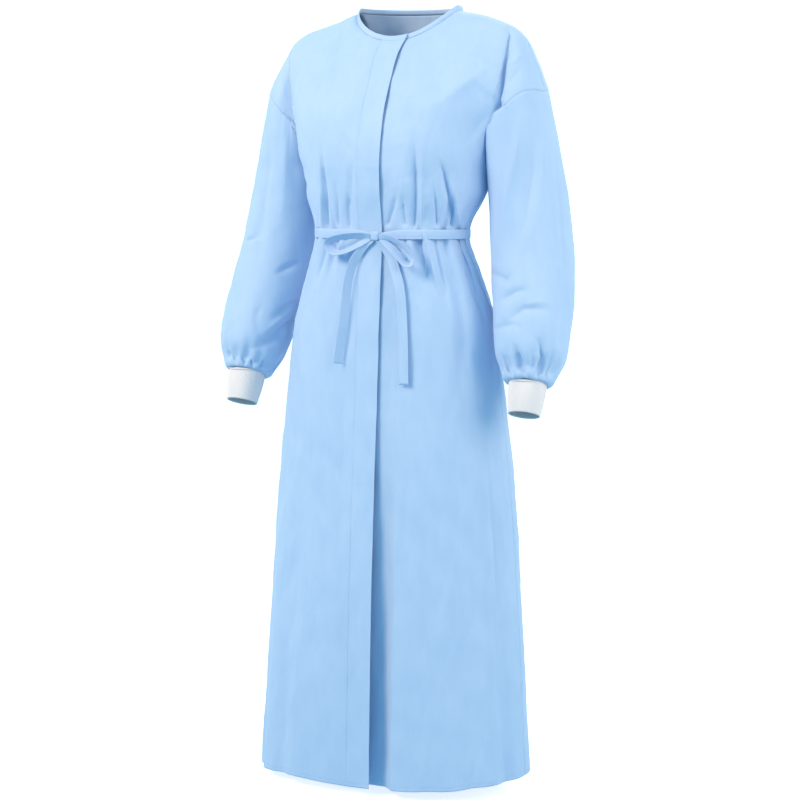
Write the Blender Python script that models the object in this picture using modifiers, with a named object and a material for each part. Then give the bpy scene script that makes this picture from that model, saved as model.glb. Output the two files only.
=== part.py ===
"""Surgical gown with a lapped front, long sleeves, knit cuffs and a tied belt.

The origin is at the middle of the neck opening, level with its side points.
The front faces -Y, the wearer's left is +X and up is +Z. Units are metres.
Sections are read at a drop, the distance down from the origin. Places round
the body are read at a turn, in degrees from the centre front (0) past the
side seam (90) to the centre back (180), positive towards the wearer's left.
"""

import math

import bmesh
import bpy
import numpy as np

# Driving dimensions
GOWN_LENGTH = 1.40
WALL = 0.0015
SEAM_INSET = 0.0004
SHOULDER_INSET = 0.0007
SLEEVE_STANDOFF = 0.0009
UNDERARM_DROP = 0.285
BELT_DROP = 0.405
BELT_WIDTH = 0.0175
BELT_WALL = 0.0012
BINDING_WIDTH = 0.010
BINDING_WALL = 0.0024
CUFF_WALL = 0.0018
LAY_GAP = 0.0005
HIP_DROP = 0.56

# Powers of the trunk's rounded sections, in front of and behind the side seams
FRONT_SHAPE = 2.3
BACK_SHAPE = 2.05

# Laps of the right front over the left one, past the centre
OVERLAP = 0.026
UNDERLAP = 0.032

# The under front stays back by the step, and by the slack more at the hem
LAP_STEP = 0.0042
LAP_SLACK = 0.026
LAP_SLACK_DROP = 0.60
LAP_SLACK_LENGTH = 0.80

# The under front comes forward again past this x, over the blend's width
LAP_REACH = 0.075
LAP_BLEND = 0.035

# Parts of a crease's length over which it deepens at its start and fades out
FOLD_START = 0.06
FOLD_FADE = 0.8

# Way of the binding's width: forward lean at the front and back centre and
# lean towards the neck at its sides, for each metre up
BINDING_FRONT_LEAN = 0.75
BINDING_BACK_LEAN = -0.30
BINDING_SIDE_LEAN = -0.35

# Grid sizes
FRONT_NECK_COLUMNS = 9
FRONT_SIDE_COLUMNS = 14
BACK_NECK_COLUMNS = 6
BACK_SIDE_COLUMNS = 11
SLEEVE_SIDES = 22
UPPER_ROWS = SLEEVE_SIDES // 2
WAIST_ROWS = 4
HIP_ROWS = 5
SKIRT_ROWS = 7
SLEEVE_TOP_ROWS = 5
SLEEVE_ROWS = 13
SLEEVE_ROW_SPREAD = 0.80
CUFF_ROWS = 5
BELT_ROWS = 3
BELT_SIDES = 72
LOOP_STATIONS = 26
TAIL_STATIONS = 20

SIDES = (("left", 1.0), ("right", -1.0))
COLLECTION = "medical_gown"

# Colours and roughness
CLOTH_BLUE = (0.52, 0.72, 0.97)
CLOTH_ROUGHNESS = 0.8
KNIT_WHITE = (0.84, 0.85, 0.90)
KNIT_ROUGHNESS = 0.9

# Trunk sections: drop, half width, front y, side seam y, back y
TRUNK = (
    (0.285, 0.182, -0.167, -0.022, 0.083),
    (0.300, 0.1785, -0.1665, -0.029, 0.076),
    (0.330, 0.175, -0.165, -0.045, 0.060),
    (0.405, 0.150, -0.156, -0.067, 0.028),
    (0.470, 0.170, -0.160, -0.060, 0.036),
    (0.550, 0.196, -0.166, -0.055, 0.050),
    (0.650, 0.209, -0.172, -0.054, 0.061),
    (0.910, 0.238, -0.190, -0.052, 0.086),
    (1.100, 0.255, -0.200, -0.055, 0.094),
    (1.400, 0.277, -0.208, -0.063, 0.097),
)

# Drop of the hem round the skirt: turn, drop
HEM = (
    (-180, 1.388),
    (-135, 1.397),
    (-90, 1.400),
    (-60, 1.393),
    (-30, 1.390),
    (0, 1.393),
    (30, 1.389),
    (60, 1.378),
    (90, 1.362),
    (135, 1.372),
    (180, 1.388),
)

# Neck edge, an oval that dips at the front
NECK_HALF_WIDTH = 0.103
NECK_FRONT_DEPTH = 0.071
NECK_BACK_DEPTH = 0.081
NECK_FRONT_DROP = 0.055
NECK_BACK_DROP = 0.002
NECK_DIP_SHAPE = 1.5

# Shoulder seam from the neck's side point to the armhole: place, x, y, z
NECK_SIDE = 0.375
SHOULDER_SEAM = (
    (0.375, 0.103, 0.000, 0.000),
    (0.560, 0.171, 0.000, -0.015),
    (0.730, 0.229, 0.000, -0.045),
    (0.860, 0.255, -0.004, -0.092),
    (1.000, 0.280, -0.008, -0.150),
)

# Yoke columns of a front, from the centre (0) to the armhole (1): place,
# upper handle x, y, z, lower handle from the foot x, y, z
FRONT_YOKE = (
    (0.000, 0.000, -0.113, -0.095, 0.000, 0.004, 0.080),
    (0.200, 0.066, -0.105, -0.062, 0.000, 0.004, 0.090),
    (0.375, 0.112, -0.074, -0.010, 0.004, 0.002, 0.105),
    (0.560, 0.177, -0.068, -0.021, 0.018, -0.002, 0.110),
    (0.730, 0.233, -0.074, -0.055, 0.028, -0.012, 0.100),
    (0.860, 0.256, -0.096, -0.088, 0.014, -0.040, 0.085),
    (1.000, 0.274, -0.113, -0.125, -0.005, -0.080, 0.070),
)

# Yoke columns of a back, from the centre (0) to the armhole (1), as above
BACK_YOKE = (
    (0.000, 0.000, 0.095, -0.057, 0.000, 0.012, 0.090),
    (0.200, 0.064, 0.090, -0.040, 0.000, 0.012, 0.095),
    (0.375, 0.112, 0.070, -0.012, 0.004, 0.012, 0.105),
    (0.560, 0.177, 0.070, -0.021, 0.018, 0.010, 0.110),
    (0.730, 0.233, 0.072, -0.055, 0.028, 0.016, 0.100),
    (0.860, 0.256, 0.082, -0.090, 0.018, 0.044, 0.085),
    (1.000, 0.274, 0.086, -0.130, 0.000, 0.068, 0.050),
)

# Sleeve rings: drop, centre x, centre y, radius
SLEEVE = (
    (0.345, 0.2495, -0.010, 0.0735),
    (0.400, 0.2570, -0.018, 0.0745),
    (0.452, 0.2645, -0.026, 0.0753),
    (0.523, 0.2765, -0.048, 0.0735),
    (0.558, 0.2820, -0.062, 0.0705),
    (0.598, 0.2870, -0.077, 0.0670),
    (0.629, 0.2890, -0.086, 0.0615),
    (0.647, 0.2900, -0.092, 0.0540),
    (0.664, 0.2910, -0.099, 0.0360),
)
SLEEVE_END = SLEEVE[-1][0]

# Cuff rings: drop, centre x, centre y, radius
CUFF = (
    (0.6650, 0.2910, -0.1000, 0.0345),
    (0.6950, 0.2918, -0.1105, 0.0325),
    (0.7230, 0.2925, -0.1200, 0.0285),
)

# Creases of the trunk: turn and drop at one end, turn and drop at the other,
# half width, depth. The deep end is the first one.
TRUNK_FOLDS = (
    (-8, 0.400, -9, 0.335, 0.008, 0.005),
    (-15, 0.400, -18, 0.330, 0.008, 0.007),
    (-27, 0.400, -30, 0.300, 0.009, 0.010),
    (-41, 0.400, -43, 0.330, 0.009, 0.007),
    (-56, 0.400, -58, 0.310, 0.009, 0.008),
    (-74, 0.400, -74, 0.330, 0.009, 0.007),
    (22, 0.400, 23, 0.350, 0.009, 0.005),
    (36, 0.400, 37, 0.320, 0.008, 0.008),
    (46, 0.400, 50, 0.300, 0.009, 0.006),
    (58, 0.400, 60, 0.330, 0.009, 0.008),
    (69, 0.400, 70, 0.310, 0.008, 0.008),
    (79, 0.400, 79, 0.340, 0.008, 0.005),
    (-9, 0.410, -10, 0.480, 0.008, 0.005),
    (-17, 0.410, -17, 0.520, 0.009, 0.007),
    (-28, 0.410, -29, 0.620, 0.010, 0.010),
    (-43, 0.410, -41, 0.560, 0.010, 0.008),
    (-58, 0.410, -56, 0.700, 0.011, 0.010),
    (-75, 0.410, -73, 0.600, 0.010, 0.008),
    (20, 0.410, 19, 0.500, 0.009, 0.005),
    (35, 0.410, 33, 0.620, 0.009, 0.008),
    (47, 0.410, 45, 0.520, 0.009, 0.006),
    (59, 0.410, 56, 0.700, 0.011, 0.010),
    (69, 0.410, 68, 0.560, 0.009, 0.008),
    (79, 0.410, 79, 0.650, 0.008, 0.006),
    (104, 0.400, 105, 0.320, 0.009, 0.007),
    (121, 0.400, 122, 0.290, 0.010, 0.009),
    (137, 0.400, 136, 0.320, 0.009, 0.007),
    (156, 0.400, 157, 0.300, 0.010, 0.008),
    (-103, 0.400, -104, 0.330, 0.009, 0.007),
    (-119, 0.400, -120, 0.290, 0.010, 0.009),
    (-134, 0.400, -134, 0.320, 0.009, 0.006),
    (-153, 0.400, -155, 0.300, 0.010, 0.008),
    (104, 0.410, 104, 0.560, 0.010, 0.008),
    (121, 0.410, 120, 0.720, 0.011, 0.010),
    (136, 0.410, 138, 0.560, 0.010, 0.007),
    (155, 0.410, 155, 0.680, 0.011, 0.009),
    (-103, 0.410, -104, 0.600, 0.010, 0.008),
    (-119, 0.410, -121, 0.680, 0.011, 0.010),
    (-135, 0.410, -135, 0.540, 0.010, 0.007),
    (-154, 0.410, -156, 0.700, 0.011, 0.009),
    (-38, 1.400, -36, 0.800, 0.030, 0.006),
    (-66, 1.400, -63, 0.760, 0.030, 0.009),
    (28, 1.400, 27, 0.820, 0.030, 0.005),
    (50, 1.400, 48, 0.740, 0.030, 0.008),
    (72, 1.400, 70, 0.860, 0.026, 0.007),
    (114, 1.400, 115, 0.800, 0.030, 0.009),
    (146, 1.400, 144, 0.760, 0.032, 0.008),
    (-112, 1.400, -113, 0.780, 0.030, 0.009),
    (-144, 1.400, -146, 0.820, 0.032, 0.007),
)

# Creases of a sleeve: turn and drop at one end, turn and drop at the other,
# half width, depth. The turn starts at the outer side and passes the front.
SLEEVE_FOLDS_LEFT = (
    (15, 0.600, 20, 0.340, 0.014, 0.004),
    (80, 0.560, 130, 0.520, 0.014, 0.006),
    (70, 0.470, 120, 0.440, 0.014, 0.005),
    (150, 0.380, 200, 0.350, 0.014, 0.005),
    (250, 0.520, 300, 0.480, 0.016, 0.006),
)
SLEEVE_FOLDS_RIGHT = (
    (20, 0.590, 24, 0.360, 0.014, 0.004),
    (100, 0.590, 60, 0.520, 0.016, 0.007),
    (130, 0.610, 96, 0.560, 0.014, 0.006),
    (60, 0.440, 110, 0.400, 0.014, 0.005),
    (250, 0.500, 300, 0.470, 0.016, 0.006),
)

# Gathers of a sleeve above its cuff, each one GATHER_TURN to either side and
# sunk within a part of its height: turn, depth, height
GATHER_TURN = 8.0
GATHER_SINK = 0.25
CUFF_GATHERS = (
    (10, 0.007, 0.050),
    (38, 0.006, 0.040),
    (64, 0.009, 0.060),
    (88, 0.007, 0.045),
    (112, 0.010, 0.060),
    (140, 0.007, 0.040),
    (168, 0.006, 0.045),
    (196, 0.007, 0.050),
    (222, 0.006, 0.040),
    (248, 0.008, 0.055),
    (276, 0.006, 0.045),
    (304, 0.008, 0.050),
    (332, 0.006, 0.040),
)

# Routes of the belt's loops and free ends from the knot: x, drop, distance
# out from the skirt, lean of the width from upright, roll of the width out
# of the skirt's plane, part of the belt's width
LOOP_RIGHT = (
    (0.0060, 0.4085, 0.0075, 0, 0, 0.55),
    (-0.014, 0.4110, 0.0125, 20, 0, 0.85),
    (-0.038, 0.4190, 0.0165, 30, 0, 1.0),
    (-0.060, 0.4310, 0.0190, 42, 0, 1.0),
    (-0.071, 0.4400, 0.0150, 46, 0, 1.0),
    (-0.066, 0.4405, 0.0100, 46, 0, 1.0),
    (-0.050, 0.4310, 0.0080, 40, 0, 1.0),
    (-0.028, 0.4205, 0.0060, 28, 0, 0.9),
    (0.0060, 0.4125, 0.0042, 0, 0, 0.4),
)
LOOP_LEFT = (
    (0.0240, 0.4085, 0.0085, 0, 0, 0.55),
    (0.046, 0.4150, 0.0140, -32, 0, 0.85),
    (0.066, 0.4290, 0.0180, -46, 0, 1.0),
    (0.085, 0.4480, 0.0195, -56, 0, 1.0),
    (0.0935, 0.4585, 0.0150, -58, 0, 1.0),
    (0.088, 0.4575, 0.0100, -56, 0, 1.0),
    (0.072, 0.4430, 0.0085, -50, 0, 1.0),
    (0.050, 0.4240, 0.0080, -36, 0, 0.9),
    (0.0240, 0.4120, 0.0060, 0, 0, 0.4),
)
TAIL_RIGHT = (
    (0.0108, 0.41665, 0.0060, 90, 0, 0.33),
    (-0.006, 0.4280, 0.0080, 48, 10, 0.7),
    (-0.020, 0.4470, 0.0100, 62, 30, 1.0),
    (-0.029, 0.4700, 0.0110, 76, 45, 1.0),
    (-0.035, 0.4990, 0.0110, 84, 50, 1.0),
    (-0.038, 0.5340, 0.0105, 88, 40, 1.0),
    (-0.042, 0.5750, 0.0100, 84, 35, 1.0),
    (-0.051, 0.6390, 0.0100, 78, 35, 1.0),
)
TAIL_LEFT = (
    (0.0188, 0.41665, 0.0060, -90, 0, 0.33),
    (0.0330, 0.4300, 0.0036, -56, 0, 0.8),
    (0.0460, 0.4460, 0.0042, -60, -4, 1.0),
    (0.0557, 0.4680, 0.0080, -70, -14, 1.0),
    (0.0657, 0.4990, 0.0095, -80, -25, 1.0),
    (0.072, 0.5485, 0.0080, -86, -15, 1.0),
    (0.076, 0.6020, 0.0070, -90, -5, 1.0),
    (0.079, 0.6730, 0.0065, -90, 0, 1.0),
)

# Knot of the bow: x of its middle, sag below the belt's middle, width, height
# and depth, and the rounding of its edges
KNOT_X = 0.015
KNOT_SAG = 0.003
KNOT_SIZE = (0.0170, 0.0165, 0.0085)
KNOT_ROUNDING = 0.0026
KNOT_SEGMENTS = 2


def smooth_step(value):
    """Ease from 0 to 1 with level ends."""
    value = np.clip(value, 0.0, 1.0)
    return value * value * (3.0 - 2.0 * value)


def read_column(table, column, place):
    """Read one column of a table between its rows, as a smooth curve."""
    keys = np.array([row[0] for row in table])
    values = np.array([row[column] for row in table])
    slopes = np.gradient(values, keys)
    place = np.clip(place, keys[0], keys[-1])
    index = np.clip(np.searchsorted(keys, place, side="right") - 1, 0, len(keys) - 2)
    span = keys[index + 1] - keys[index]
    part = (place - keys[index]) / span
    square = part * part
    cube = square * part
    return (
        (2.0 * cube - 3.0 * square + 1.0) * values[index]
        + (cube - 2.0 * square + part) * span * slopes[index]
        + (3.0 * square - 2.0 * cube) * values[index + 1]
        + (cube - square) * span * slopes[index + 1]
    )


def signed_power(value, power):
    """Raise the size of a value to a power and keep its sign."""
    return np.sign(value) * np.abs(value) ** power


def trunk_point(turn, drop):
    """Points of the smooth trunk below the underarm, for arrays of turns and drops."""
    turn, drop = np.broadcast_arrays(np.asarray(turn, float), np.asarray(drop, float))
    angle = np.radians(turn)
    under_belt = np.abs(drop - BELT_DROP) < BELT_WIDTH / 2.0 + SEAM_INSET
    level = np.where(under_belt, BELT_DROP, drop)
    half_width = read_column(TRUNK, 1, level)
    side_y = read_column(TRUNK, 3, level)
    at_front = np.cos(angle) >= 0.0
    end_y = np.where(at_front, read_column(TRUNK, 2, level), read_column(TRUNK, 4, level))
    power = 2.0 / np.where(at_front, FRONT_SHAPE, BACK_SHAPE)
    x = half_width * signed_power(np.sin(angle), power)
    y = side_y + (end_y - side_y) * np.abs(np.cos(angle)) ** power
    return np.stack((x, y, -drop), axis=-1)


def panel_top(yoke, place):
    """Points of a panel's neck edge and shoulder seam, which meet in a corner."""
    angle = np.minimum(place / NECK_SIDE, 1.0) * math.pi / 2.0
    level = np.maximum(np.cos(angle), 0.0)
    if yoke is FRONT_YOKE:
        neck_y = -NECK_FRONT_DEPTH * level
        neck_z = -NECK_FRONT_DROP * level ** NECK_DIP_SHAPE
    else:
        neck_y = NECK_BACK_DEPTH * level
        neck_z = -NECK_BACK_DROP * level
    neck = np.stack((NECK_HALF_WIDTH * np.sin(angle), neck_y, neck_z), axis=-1)
    seam = [read_column(SHOULDER_SEAM, column, place) for column in (1, 2, 3)]
    return np.where(place[..., None] <= NECK_SIDE, neck, np.stack(seam, axis=-1))


def yoke_point(yoke, place, down):
    """Points of a front or back above the underarm, on the wearer's left."""
    place, down = np.broadcast_arrays(np.asarray(place, float), np.asarray(down, float))
    across = np.abs(place)
    columns = [read_column(yoke, column, across) for column in range(1, 7)]
    turn = 90.0 * across
    if yoke is BACK_YOKE:
        turn = 180.0 - turn
    top = panel_top(yoke, across)
    upper = np.stack(columns[0:3], axis=-1)
    foot = trunk_point(turn, UNDERARM_DROP)
    lower = foot + np.stack(columns[3:6], axis=-1)
    part = down[..., None]
    rest = 1.0 - part
    point = (
        rest ** 3 * top
        + 3.0 * rest ** 2 * part * upper
        + 3.0 * rest * part ** 2 * lower
        + part ** 3 * foot
    )
    point[..., 0] *= np.where(place < 0.0, -1.0, 1.0)
    return point


def trunk_outward(turn, drop):
    """Level way out from the trunk at each turn and drop."""
    step = 1.0
    along = trunk_point(turn + step, drop) - trunk_point(turn - step, drop)
    out = np.cross(along, np.array((0.0, 0.0, 1.0)))
    return out / np.linalg.norm(out, axis=-1, keepdims=True)


def crease_depth(across, drop, folds, reach):
    """Depth of all the creases of a table at points given by turn and drop."""
    total = np.zeros(np.broadcast(across, drop).shape)
    for turn_0, drop_0, turn_1, drop_1, half_width, depth in folds:
        along = (drop - drop_0) / (drop_1 - drop_0)
        line = turn_0 + (turn_1 - turn_0) * np.clip(along, 0.0, 1.0)
        away = (across - line) * reach / half_width
        fade = smooth_step((along + FOLD_START) / FOLD_START)
        fade = fade * smooth_step((1.0 - along) / FOLD_FADE)
        total += depth * np.exp(-away * away) * fade
    return total


def trunk_turn_reach(turn, drop):
    """Metres of cloth to each degree of turn, at each drop."""
    step = 1.0
    ahead = trunk_point(turn + step, drop)
    behind = trunk_point(turn - step, drop)
    return np.linalg.norm(ahead - behind, axis=-1) / (2.0 * step)


def row_drops():
    """Drops of the rows below the underarm, with three rows under the belt."""
    belt_top = BELT_DROP - BELT_WIDTH / 2.0
    belt_foot = BELT_DROP + BELT_WIDTH / 2.0
    return np.concatenate((
        np.linspace(UNDERARM_DROP, belt_top, WAIST_ROWS + 1)[1:],
        (BELT_DROP,),
        np.linspace(belt_foot, HIP_DROP, HIP_ROWS + 1),
        np.linspace(HIP_DROP, GOWN_LENGTH, SKIRT_ROWS + 1)[1:],
    ))


def column_places(edge, neck_columns, side_columns):
    """Places of a panel's columns, from its free edge past the neck's side point."""
    return np.concatenate((
        np.linspace(edge, NECK_SIDE, neck_columns + 1),
        np.linspace(NECK_SIDE, 1.0, side_columns + 1)[1:],
    ))


def trim_grid(grid, top_inset, wrap=False):
    """Draw the outer rows and columns in by their seam insets."""
    grid = grid.copy()
    pairs = [(grid[0], grid[1], top_inset), (grid[-1], grid[-2], SEAM_INSET)]
    if not wrap:
        pairs.append((grid[:, 0], grid[:, 1], SEAM_INSET))
        pairs.append((grid[:, -1], grid[:, -2], SEAM_INSET))
    for edge, inner, inset in pairs:
        way = inner - edge
        size = np.linalg.norm(way, axis=-1, keepdims=True)
        edge += way / np.maximum(size, 1e-9) * inset
    return grid


def lap_setback(drop):
    """Distance from the over front in to the under front, at each drop."""
    return LAP_STEP + LAP_SLACK * smooth_step((drop - LAP_SLACK_DROP) / LAP_SLACK_LENGTH)


def lap_place(width, drop):
    """Place, as a part of the front, of a lap that passes the centre by a width."""
    ratio = (width / read_column(TRUNK, 1, drop)) ** (FRONT_SHAPE / 2.0)
    return -np.arcsin(ratio) / (math.pi / 2.0)


def front_grid(side):
    """Grid of a front's outer points. Side is +1 for the wearer's left."""
    lap = UNDERLAP if side > 0 else OVERLAP
    drops = row_drops()
    levels = np.concatenate(((UNDERARM_DROP,), drops))
    edges = lap_place(lap, levels)
    places = np.array([
        column_places(edge, FRONT_NECK_COLUMNS, FRONT_SIDE_COLUMNS) for edge in edges
    ])
    down = np.linspace(0.0, 1.0, UPPER_ROWS + 1)
    yoke = yoke_point(FRONT_YOKE, places[0][None, :], down[:, None])
    skirt = trunk_point(90.0 * places[1:], drops[:, None])
    grid = np.concatenate((yoke, skirt), axis=0)
    grid = press_folds(grid, side * 90.0 * places[1:], drops, side)
    grid = hang_hem(grid, side * 90.0 * places[1:], drops)
    if side > 0:
        grid = set_back_lap(grid)
    return grid * np.array((side, 1.0, 1.0))


def back_grid(side):
    """Grid of a back's outer points, from the centre seam to the side."""
    drops = row_drops()
    places = column_places(0.0, BACK_NECK_COLUMNS, BACK_SIDE_COLUMNS)
    down = np.linspace(0.0, 1.0, UPPER_ROWS + 1)
    yoke = yoke_point(BACK_YOKE, places[None, :], down[:, None])
    turns = np.repeat(180.0 - 90.0 * places[None, :], len(drops), axis=0)
    skirt = trunk_point(turns, drops[:, None])
    grid = np.concatenate((yoke, skirt), axis=0)
    grid = press_folds(grid, side * turns, drops, side)
    grid = hang_hem(grid, side * turns, drops)
    return grid * np.array((side, 1.0, 1.0))


def press_folds(grid, turns, drops, side):
    """Press the trunk's creases into the rows below the underarm."""
    turns, levels = np.broadcast_arrays(turns, drops[:, None])
    reach = trunk_turn_reach(turns, levels)
    depth = crease_depth(turns, levels, TRUNK_FOLDS, reach)
    outward = trunk_outward(turns, levels) * np.array((side, 1.0, 1.0))
    grid = grid.copy()
    grid[-len(drops):] -= outward * depth[..., None]
    return grid


def hang_hem(grid, turns, drops):
    """Lift the skirt's rows so that the last one lies on the hem."""
    part = np.clip((drops - HIP_DROP) / (GOWN_LENGTH - HIP_DROP), 0.0, 1.0)[:, None]
    grid = grid.copy()
    grid[-len(drops):, :, 2] += part * (GOWN_LENGTH - read_column(HEM, 1, turns))
    return grid


def set_back_lap(grid):
    """Draw the under front back where the over front lies on it."""
    grid = grid.copy()
    near = smooth_step((LAP_REACH - grid[..., 0]) / LAP_BLEND)
    grid[..., 1] += near * lap_setback(-grid[..., 2])
    return grid


def tube_rings(table, drops, sides):
    """Rings square to the line through a table's centres."""
    x = read_column(table, 1, drops)
    y = read_column(table, 2, drops)
    centres = np.stack((x, y, -drops), axis=-1)
    along = np.gradient(centres, axis=0)
    along /= np.linalg.norm(along, axis=-1, keepdims=True)
    outward = np.array((1.0, 0.0, 0.0)) - along[:, 0:1] * along
    outward /= np.linalg.norm(outward, axis=-1, keepdims=True)
    forward = np.cross(outward, along)
    forward *= np.where(forward[:, 1:2] > 0.0, -1.0, 1.0)
    angle = 2.0 * math.pi * np.arange(sides) / sides
    radius = read_column(table, 3, drops)[:, None, None]
    ring = np.cos(angle)[None, :, None] * outward[:, None, :]
    ring = ring + np.sin(angle)[None, :, None] * forward[:, None, :]
    return centres[:, None, :] + radius * ring


def armhole_loop(sides):
    """Armhole from its top, down the front, round the underarm and up the back."""
    half = sides // 2
    down = np.linspace(0.0, 1.0, half + 1)
    front = yoke_point(FRONT_YOKE, np.ones(half + 1), down)
    back = yoke_point(BACK_YOKE, np.ones(half + 1), down)
    return np.concatenate((front, back[::-1][1:-1]), axis=0)


def sleeve_grid(side):
    """Grid of a sleeve's outer points, from the armhole to the cuff."""
    spread = np.linspace(0.0, 1.0, SLEEVE_ROWS + 1) ** SLEEVE_ROW_SPREAD
    drops = SLEEVE[0][0] + (SLEEVE_END - SLEEVE[0][0]) * spread
    rings = tube_rings(SLEEVE, drops, SLEEVE_SIDES)
    turns = 360.0 * np.arange(SLEEVE_SIDES) / SLEEVE_SIDES
    folds = SLEEVE_FOLDS_LEFT if side > 0 else SLEEVE_FOLDS_RIGHT
    radius = read_column(SLEEVE, 3, drops)[:, None]
    reach = radius * math.pi / 180.0
    depth = crease_depth(turns[None, :], drops[:, None], folds, reach)
    for turn, gather, height in CUFF_GATHERS:
        away = (turns[None, :] - turn) / GATHER_TURN
        rise = (SLEEVE_END - drops[:, None]) / height
        fade = smooth_step(rise / GATHER_SINK) * smooth_step(1.0 - rise)
        depth += gather * np.exp(-away * away) * fade
    centres = np.mean(rings, axis=1, keepdims=True)
    inward = centres - rings
    inward /= np.linalg.norm(inward, axis=-1, keepdims=True)
    rings = rings + inward * depth[..., None]
    loop = armhole_loop(SLEEVE_SIDES)
    parts = np.linspace(0.0, 1.0, SLEEVE_TOP_ROWS + 1)[:-1]
    cap = [loop + (rings[0] - loop) * part for part in parts]
    grid = np.concatenate((np.array(cap), rings), axis=0)
    grid[..., 0] += SLEEVE_STANDOFF
    grid[..., 0] *= side
    return grid


def cuff_grid(side):
    """Grid of a cuff's outer points."""
    drops = np.linspace(CUFF[0][0], CUFF[-1][0], CUFF_ROWS)
    grid = tube_rings(CUFF, drops, SLEEVE_SIDES)
    grid[..., 0] *= side
    return grid


def mesh_object(name, grid, wall, material, wrap=False, flip=False):
    """Make an object from a grid of outer points, with a wall behind it."""
    rows, columns = grid.shape[:2]
    shape = bmesh.new()
    verts = [[shape.verts.new(point) for point in row] for row in grid.tolist()]
    last = columns if wrap else columns - 1
    for row in range(rows - 1):
        for column in range(last):
            beside = (column + 1) % columns
            corners = [
                verts[row][column],
                verts[row][beside],
                verts[row + 1][beside],
                verts[row + 1][column],
            ]
            if flip:
                corners.reverse()
            shape.faces.new(corners)
    mesh = bpy.data.meshes.new(name)
    shape.to_mesh(mesh)
    shape.free()
    mesh.shade_smooth()
    mesh.materials.append(material)
    item = bpy.data.objects.new(name, mesh)
    solidify = item.modifiers.new("Wall", "SOLIDIFY")
    solidify.thickness = wall
    solidify.offset = -1.0
    bpy.data.collections[COLLECTION].objects.link(item)
    return item


def neck_points():
    """Lower edge of the binding and the way up it, from the over front's edge round."""
    mirror = np.array((-1.0, 1.0, 1.0))
    over = column_places(lap_place(OVERLAP, UNDERARM_DROP), FRONT_NECK_COLUMNS, 1)[:-1]
    under = column_places(lap_place(UNDERLAP, UNDERARM_DROP), FRONT_NECK_COLUMNS, 1)[:-1]
    back = column_places(0.0, BACK_NECK_COLUMNS, 1)[:-1]
    right_front = yoke_point(FRONT_YOKE, over, 0.0) * mirror
    left_back = yoke_point(BACK_YOKE, back, 0.0)
    right_back = left_back[::-1] * mirror
    left_front = set_back_lap(yoke_point(FRONT_YOKE, under, 0.0))[::-1]
    base = np.concatenate((right_front, right_back[1:], left_back[1:], left_front[1:]))
    part = base[:, 0] / NECK_HALF_WIDTH
    centre_lean = np.where(base[:, 1] < 0.0, BINDING_FRONT_LEAN, BINDING_BACK_LEAN)
    forward = centre_lean * (1.0 - part ** 2)
    up = np.stack((BINDING_SIDE_LEAN * part, forward, np.ones(len(base))), axis=1)
    return base, up / np.linalg.norm(up, axis=1, keepdims=True)


def binding_grid():
    """Grid of the neck binding's outer points."""
    base, up = neck_points()
    along = np.gradient(base, axis=0)
    out = np.cross(up, along)
    out /= np.linalg.norm(out, axis=1, keepdims=True)
    out *= np.where(np.sum(out * base, axis=1, keepdims=True) < 0.0, -1.0, 1.0)
    proud = (BINDING_WALL - WALL) / 2.0
    heights = ((SEAM_INSET, 0.0), (BINDING_WIDTH / 2.0, proud), (BINDING_WIDTH, 0.0))
    return np.array([base + up * height + out * (proud + bulge) for height, bulge in heights])


def belt_grid():
    """Grid of the belt's outer points where it goes round the waist."""
    turns = np.linspace(0.0, 360.0, BELT_SIDES, endpoint=False)
    turns = np.where(turns > 180.0, turns - 360.0, turns)
    half = BELT_WIDTH / 2.0
    drops = np.linspace(BELT_DROP - half, BELT_DROP + half, BELT_ROWS)
    grid = trunk_point(turns[None, :], drops[:, None])
    return grid + trunk_outward(turns, BELT_DROP)[None, :, :] * (BELT_WALL + LAY_GAP)


def skirt_front(x, drop):
    """Points of the skirt's front at each x and drop, and the level way out."""
    ratio = np.clip(np.abs(x) / read_column(TRUNK, 1, drop), 0.0, 1.0)
    turns = np.degrees(np.arcsin(ratio ** (FRONT_SHAPE / 2.0))) * np.sign(x)
    return trunk_point(turns, drop), trunk_outward(turns, BELT_DROP)


def ribbon_grid(route, stations):
    """Grid of a ribbon's middle surface along a route table."""
    keyed = [(index, *row) for index, row in enumerate(route)]
    place = np.linspace(0.0, len(route) - 1.0, stations)
    x, drop, out, lean, roll, width = [read_column(keyed, column, place) for column in range(1, 7)]
    base, outward = skirt_front(x, drop)
    centre = base + outward * out[:, None]
    lean = np.radians(lean)[:, None]
    roll = np.radians(roll)[:, None]
    sideways = np.cross(outward, np.array((0.0, 0.0, 1.0)))
    across = np.cos(lean) * np.array((0.0, 0.0, 1.0)) + np.sin(lean) * sideways
    across = np.cos(roll) * across + np.sin(roll) * outward
    half = across * (width * BELT_WIDTH / 2.0)[:, None]
    return np.array([centre - half, centre, centre + half])


def add_knot(material):
    """Wrapped knot of the bow, a rounded block just in front of the belt."""
    width, height, depth = KNOT_SIZE
    base, outward = skirt_front(np.array([KNOT_X]), np.array([BELT_DROP]))
    middle = base[0] + outward[0] * (BELT_WALL + 2.0 * LAY_GAP + depth / 2.0)
    bpy.ops.mesh.primitive_cube_add(size=1.0)
    knot = bpy.context.object
    knot.name = "belt_knot"
    knot.data.name = "belt_knot"
    knot.location = (middle[0], middle[1], -BELT_DROP - KNOT_SAG)
    knot.scale = (width, depth, height)
    bpy.ops.object.transform_apply(location=False, rotation=False, scale=True)
    rounding = knot.modifiers.new("Rounded", "BEVEL")
    rounding.width = KNOT_ROUNDING
    rounding.segments = KNOT_SEGMENTS
    knot.data.materials.append(material)
    for home in list(knot.users_collection):
        home.objects.unlink(knot)
    bpy.data.collections[COLLECTION].objects.link(knot)


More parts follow.
